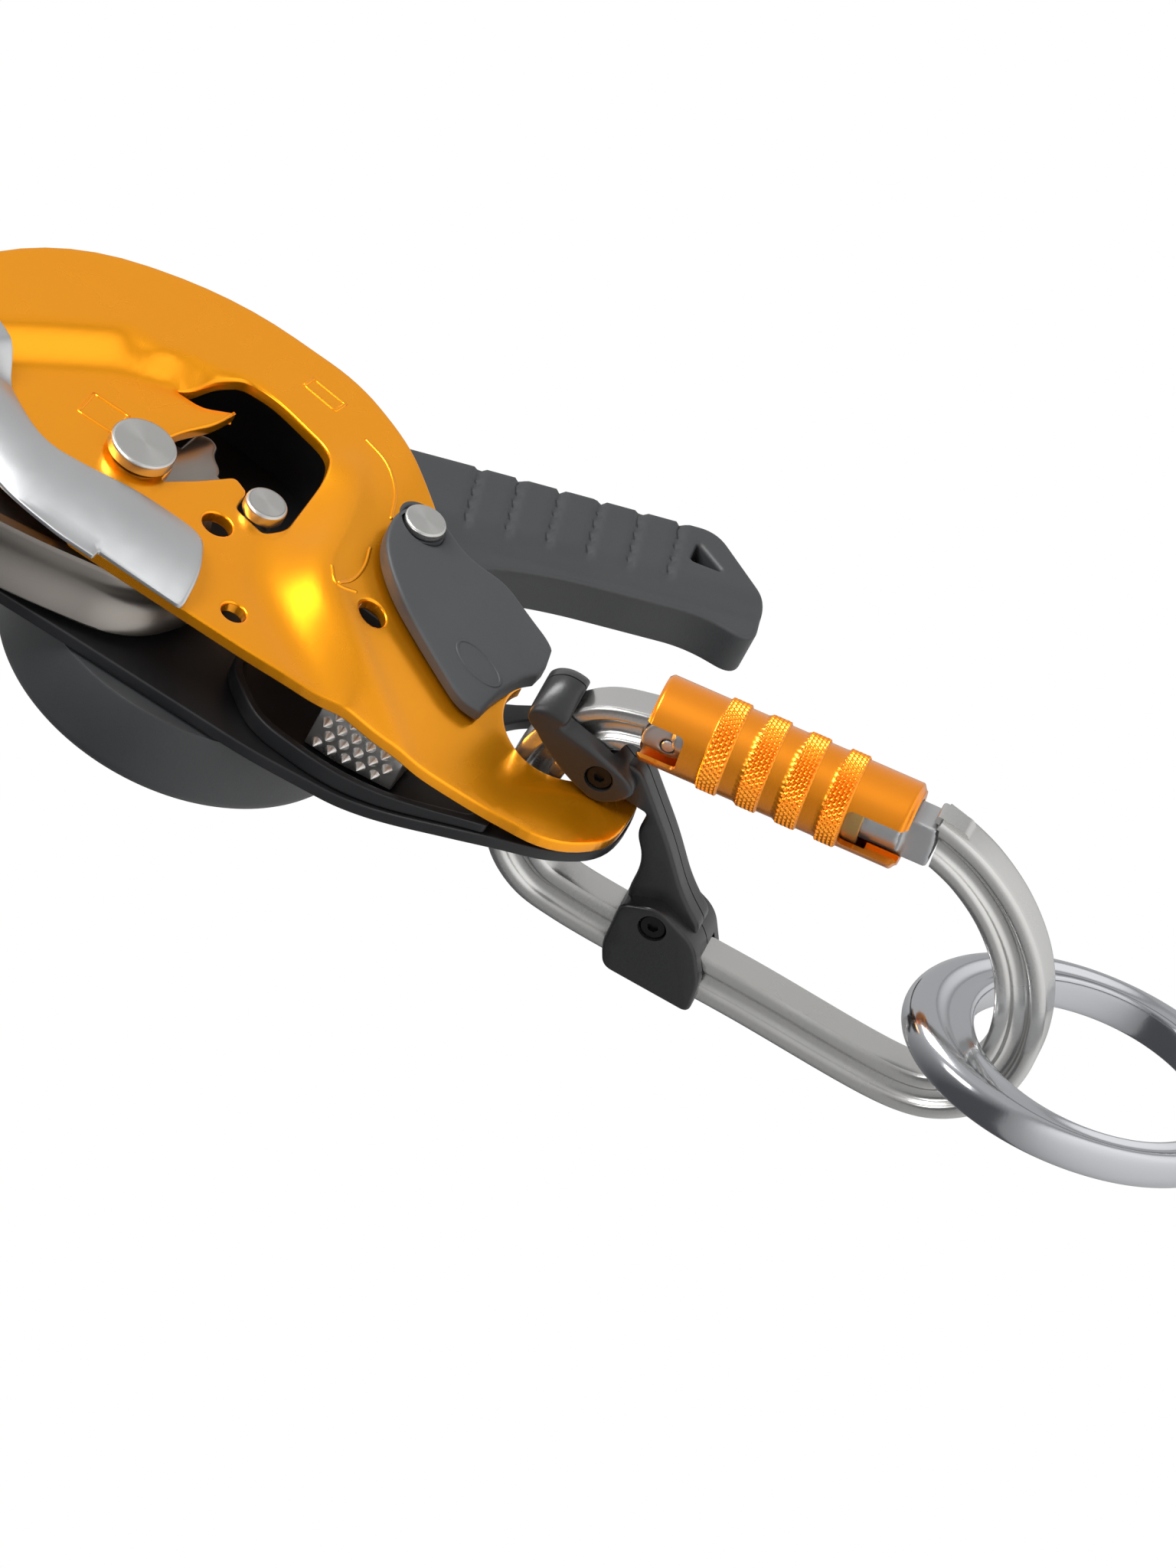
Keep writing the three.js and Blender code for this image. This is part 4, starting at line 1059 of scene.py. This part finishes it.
def bar_section():
    """The connector bar's section: an I with rounded flanges and a shallow groove down each flank."""
    t, w = BAR_THICKNESS / 2, BAR_WIDTH / 2
    return outline([
        (t - 2.2, -w, 0.4), (t, -w, 1.5), (t, -w + 3.1, 0.7), (t - 1.5, -w + 3.9, 0.8),
        (t - 1.5, w - 3.9, 0.8), (t, w - 3.1, 0.7), (t, w, 1.5), (t - 2.2, w, 0.4), (-t, w, 1.5),
        (-t, w - 3.1, 0.7), (-t + 1.5, w - 3.9, 0.8), (-t + 1.5, -w + 3.9, 0.8), (-t, -w + 3.1, 0.7),
        (-t, -w, 1.5),
    ], 4)


def connector_body():
    bar = swept(catmull(BODY_ROUTE, 220), bar_section())
    tongue = prism(outline([(10, 17.5), (14, 18.1), (20, 18.2), (20, 26.8), (13, 26), (10, 24)]), -1.7, 1.7)
    join(tongue, drum(GATE_HINGE, -1.7, 1.7, 4.5))
    lobe_room = prism(outline([(12.5, 12), (12.4, 16.4, 1), (13.2, 18.6, 2), (21, 18.6), (21, 12)]), -8, 8)
    border = outline([(71.2, 38.6, 1), (78, 38, 1), (82, 32, 1), (76, 33, 1), (71.2, 36.6, 0.5)])
    nose = prism(border, -2.4, 2.4)
    room = prism(outline([(60, 10), (84, 10), (84, 36.7), (60, 36.7)]), -6, 6)
    combine(room, [drum(GATE_HINGE, -7, 7, GATE_REACH + 0.5, 256)], "INTERSECT")
    cut(bar, drum(GATE_HINGE, -8, 8, 5.8, 96), lobe_room)
    join(bar, tongue, nose)
    cut(bar, room, drum(GATE_HINGE, -6, 6, 1.6))
    bevelled(bar, 50)
    looks = CONNECTOR_GREY, "connector", "connector_grey"
    add_piece("connector_bar", bar, *looks, "connector_body", place=CONNECTOR, sharp=28)


def connector_gate():
    core = along_gate(turned((0, 0), [(0, 2.6), (5.6, 2.6), (5.6, 49.5), (0, 49.5)], 96))
    cheeks = drum(GATE_HINGE, -4.6, 4.6, 5.4, 96)
    tip = prism(outline([(65, 25.4), (73.6, 26.4, 1), (74.7, 30), (74.4, 36.3, 1), (65, 35.4)]), -3.7, 3.7)
    slot = prism([(10, 15), (26.5, 15), (26.5, 34), (10, 34)], -2, 2)
    gate = cut(join(core, cheeks), slot)
    join(gate, tip)
    room = [along_gate(drum((0, 0), -10, 60, 5.8, 96)), drum(GATE_HINGE, -8, 8, GATE_REACH, 256)]
    combine(gate, room, "INTERSECT")
    cut(gate, drum(GATE_HINGE, -8, 8, 1.6))
    soften(gate, 0.36, 3)
    silver = "connector_gate_silver"
    add_piece("gate_bar", gate, SATIN, "connector_gate_body", silver, "connector_gate", place=CONNECTOR)
    pin = turned(GATE_HINGE, [(0, -4.5), (1.1, -4.5), (1.3, -4.3), (1.3, 4.3), (1.1, 4.5), (0, 4.5)])
    add_piece("hinge_rivet", pin, STAINLESS, "connector", "stainless", "gate_hinge_pin", place=CONNECTOR)
    bush = along_gate(tube((0, 0), 30, 42, 7.2, 5.9))
    add_piece("slide_ring", bush, BRONZE, "sleeve_slider", "bronze", "slide_bush", place=CONNECTOR)


SLEEVE_RADIUS, SLEEVE_NECK, SLEEVE_BORE, SLEEVE_MOUTH = 9.45, 8.9, 6.1, 7.9
SLEEVE_FROM, SLEEVE_TO = -3.4, GATE_LENGTH + 1.2
KNURLS_ROUND, KNURL_DEPTH = 46, 0.42
BANDS, BAND_FROM, BAND_PITCH, BAND_WIDTH = 4, 9.4, 8.2, 4.5


def sleeve_radius(turn, c):
    """The sleeve's outside: plain stretches, and four raised bands cut with a diamond knurl."""
    rounding = 0.8 * (1 - smooth((c - SLEEVE_FROM) / 1.2)) + 1.2 * (1 - smooth((SLEEVE_TO - c) / 1.2))
    place = c - BAND_FROM
    band = int(place // BAND_PITCH)
    into = place - BAND_PITCH * band
    if not (0 <= band < BANDS and into < BAND_WIDTH):
        return SLEEVE_NECK - rounding
    rise = smooth(min(into, BAND_WIDTH - into) / 0.4)
    pitch = 2 * math.pi * SLEEVE_RADIUS / KNURLS_ROUND
    u = turn * KNURLS_ROUND / (2 * math.pi)
    v = c / (1.3 * pitch)
    first = abs((u + v) % 1 - 0.5) * 2
    second = abs((u - v) % 1 - 0.5) * 2
    diamond = min(1, 1.6 * min(first, second))
    return SLEEVE_NECK + (SLEEVE_RADIUS - SLEEVE_NECK - KNURL_DEPTH * (1 - diamond)) * rise


def sleeve_rows():
    """Where the rows of corners lie: close together in the knurled bands and at the ends."""
    rows = [SLEEVE_FROM + 0.4 + 0.15 * k for k in range(7)]
    c = rows[-1]
    while c < SLEEVE_TO - 1.3:
        knurled = 9.2 < c < 38.6 and (c - 9.2) % 8.2 < 4.9
        c += 0.14 if knurled else 0.6
        rows.append(c)
    return [c for c in rows if c < SLEEVE_TO - 1.2] + [SLEEVE_TO - 0.15 * k for k in range(8, -1, -1)]


def locking_sleeve():
    sides = 368
    rows = sleeve_rows()
    turns = [2 * math.pi * i / sides for i in range(sides)]
    corners = [(*polar((0, 0), sleeve_radius(turn, c), turn), c) for c in rows for turn in turns]
    bore = [
        (SLEEVE_BORE, SLEEVE_TO), (SLEEVE_BORE, 44), (7.6, 44), (7.6, 28), (SLEEVE_BORE, 28),
        (SLEEVE_BORE, 8), (SLEEVE_MOUTH, 6.5), (SLEEVE_MOUTH, SLEEVE_FROM + 0.4),
    ]
    corners += [(*point, c) for radius, c in bore for point in circle((0, 0), radius, sides)]
    sleeve = raw(corners, stitched(len(rows) + len(bore), sides, True))

    def slot(low, high):
        """A slot through the sleeve's wall, rounded at its closed end."""
        half = 4.2
        border = [(low, -half, 1.4), (high, -half, 1.4), (high, half, 1.4), (low, half, 1.4)]
        return prism(outline(border), -12, -5)

    slots = [slot(SLEEVE_FROM - 4, SLEEVE_FROM + 8.3), slot(SLEEVE_TO - 12, SLEEVE_TO + 4)]
    for piece in slots:
        piece.data.transform(Matrix(((0, 0, 1, 0), (0, 1, 0, 0), (1, 0, 0, 0), (0, 0, 0, 1))))
        piece.data.flip_normals()
    cut(sleeve, *slots)
    along_gate(sleeve)
    looks = ORANGE, "sleeve", "orange_sleeve"
    add_piece("knurled_sleeve", sleeve, *looks, "locking_sleeve", place=CONNECTOR, sharp=42)


CAPTIVE_HALF, CAPTIVE_ARM = 7, 3.6
CAPTIVE_SCREWS = [(11.5, 9.5), (34.5, -16.5)]


def captive_bar():
    eye = outline([
        (-6.6, 15.2, 3), (-6.4, 20.2, 3), (-3, 23, 2.5), (1.6, 22.4, 2), (0.6, 18.6, 1.5),
        (8.1, 16.6, 3), (15.2, 13.4, 2), (19.4, 10.2, 2.5), (16.8, 6.2, 2), (12.9, 3.4, 3), (6, 5.6, 4),
        (-2, 10.4, 5),
    ], 10)
    foot = outline([
        (26.8, -15, 2), (34, -11.6, 3), (43.4, -15.4, 3), (47.6, -23, 2), (48.6, -30.9, 2),
        (29.6, -30.9, 2), (27.4, -26, 2),
    ], 10)
    arm = outline([
        (14, 13), (18, 13.4, 2), (29.6, 0.6, 4), (36.6, -8.6, 4), (43, -14, 2), (40, -22), (30, -22),
        (26.8, -14, 2), (26.6, -5.9, 4), (22.9, -0.5, 2), (22.9, 4.7, 1), (14, 5.2),
    ], 10)
    t, w = BAR_THICKNESS / 2 + GAP, BAR_WIDTH / 2 + GAP
    for side, name, node in ((1, "front", "captive_bar_front"), (-1, "rear", "captive_bar_rear")):
        for shape, part, thickness, edge in (
            (eye, "eye", CAPTIVE_HALF, 0.9), (foot, "foot", CAPTIVE_HALF, 0.7),
            (arm, "arm", CAPTIVE_ARM, 0.8),
        ):
            # Built to the whole width, so that only the outer edges are rounded, then halved.
            piece = sheet(shape, [], 2 * thickness, edge, 3)
            piece.data.transform(Matrix.Translation((0, 0, -thickness)))
            if part == "eye":
                warp(piece, lambda x, y, z: (x, y - 5 * max(0, y - 12) / 11 * (z / CAPTIVE_HALF) ** 2, z))
            span = sorted((side * -20, side * GAP / 2))
            other = prism([(-20, -40), (60, -40), (60, 40), (-20, 40)], *span)
            tools = [other, swept(catmull(BODY_ROUTE, 120), [(t, -w), (t, w), (-t, w), (-t, -w)])]
            if part != "arm":
                at = CAPTIVE_SCREWS[part == "foot"]
                tools.append(drum(at, -8, 8, 1.8))
                if side > 0:
                    tools.append(drum(at, CAPTIVE_HALF - 1.9, 9, 2.9))
            cut(piece, *tools)
            looks = CAPTIVE_BLACK, "connector", "captive_black"
            add_piece(f"captive_{part}_{name}", piece, *looks, node, place=CONNECTOR)
    for i, at in enumerate(CAPTIVE_SCREWS):
        screw = turned(at, [
            (0, -6), (1.5, -6), (1.5, 5.4), (2.4, 5.4), (2.6, 5.6), (2.6, 6.3), (2.4, 6.5), (0, 6.5),
        ])
        cut(screw, drum(at, 5.7, 7, 1.2, 6))
        looks = SCREW_BLACK, "connector", "captive_black"
        add_piece(f"captive_bolt_{i + 1}", screw, *looks, f"captive_screw_{i + 1}", place=CONNECTOR)


def end_ring():
    """The oval ring: rounded outside, and a flat sunk band between two rims on each face."""
    outer_at, hole_at = Vector((119.5, 4.5)), Vector((121.5, 5))
    outer, inner = (37, 25.5), (25, 19.5)
    tilt = Matrix.Rotation(math.radians(15), 2)
    top, bottom = 0, -9
    # how far across the band (0 at the hole, 1 outside) and how high (0 at the bottom, 1 at the top)
    upper = [
        (0.02, 0.8), (0.08, 0.96), (0.17, 0.98), (0.24, 0.91), (0.34, 0.87), (0.48, 0.88), (0.56, 0.96),
        (0.64, 1.0), (0.76, 0.985), (0.87, 0.92), (0.95, 0.80), (0.99, 0.64),
    ]
    section = [(0, 0.5), *upper, (1, 0.5), *[(across, 1 - high) for across, high in reversed(upper)]]
    steps = 192
    corners = []
    for i in range(steps):
        turn = 2 * math.pi * i / steps
        near = hole_at + tilt @ Vector((inner[0] * math.cos(turn), inner[1] * math.sin(turn)))
        far = outer_at + tilt @ Vector((outer[0] * math.cos(turn), outer[1] * math.sin(turn)))
        for across, high in section:
            point = near.lerp(far, across)
            corners.append((point.x, point.y, mix(bottom, top, high)))
    ring = raw(corners, stitched(steps, len(section), True))
    finer(ring)
    settle(ring)
    add_piece("oval_ring", ring, POLISHED, "ring", "polished_ring", "end_ring", place=HANGING, sharp=60)


def kept_nodes():
    """The CAD coils and the bolt keep their shape, with their own materials and smoother wire."""
    for name, paint in (
        ("handle_bolt", STAINLESS), ("cam_spring", SPRING_WIRE), ("gate_spring", SPRING_WIRE),
        ("handle_spring", SPRING_WIRE),
    ):
        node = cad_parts[name]
        node.data.materials.clear()
        node.data.materials.append(paint.material)
        if paint == SPRING_WIRE:
            weld = node.modifiers.new("weld", "WELD")
            weld.merge_threshold = 1e-6
            finer(node)


side_plate()
marks()
fixed_plate()
auxiliary_brake()
gate_cap()
studs()
small_turned()
cam()
friction_wedge()
pocket_rim()
toothed_catch()
handle()
handle_fittings()
connector_body()
connector_gate()
locking_sleeve()
captive_bar()
end_ring()
kept_nodes()
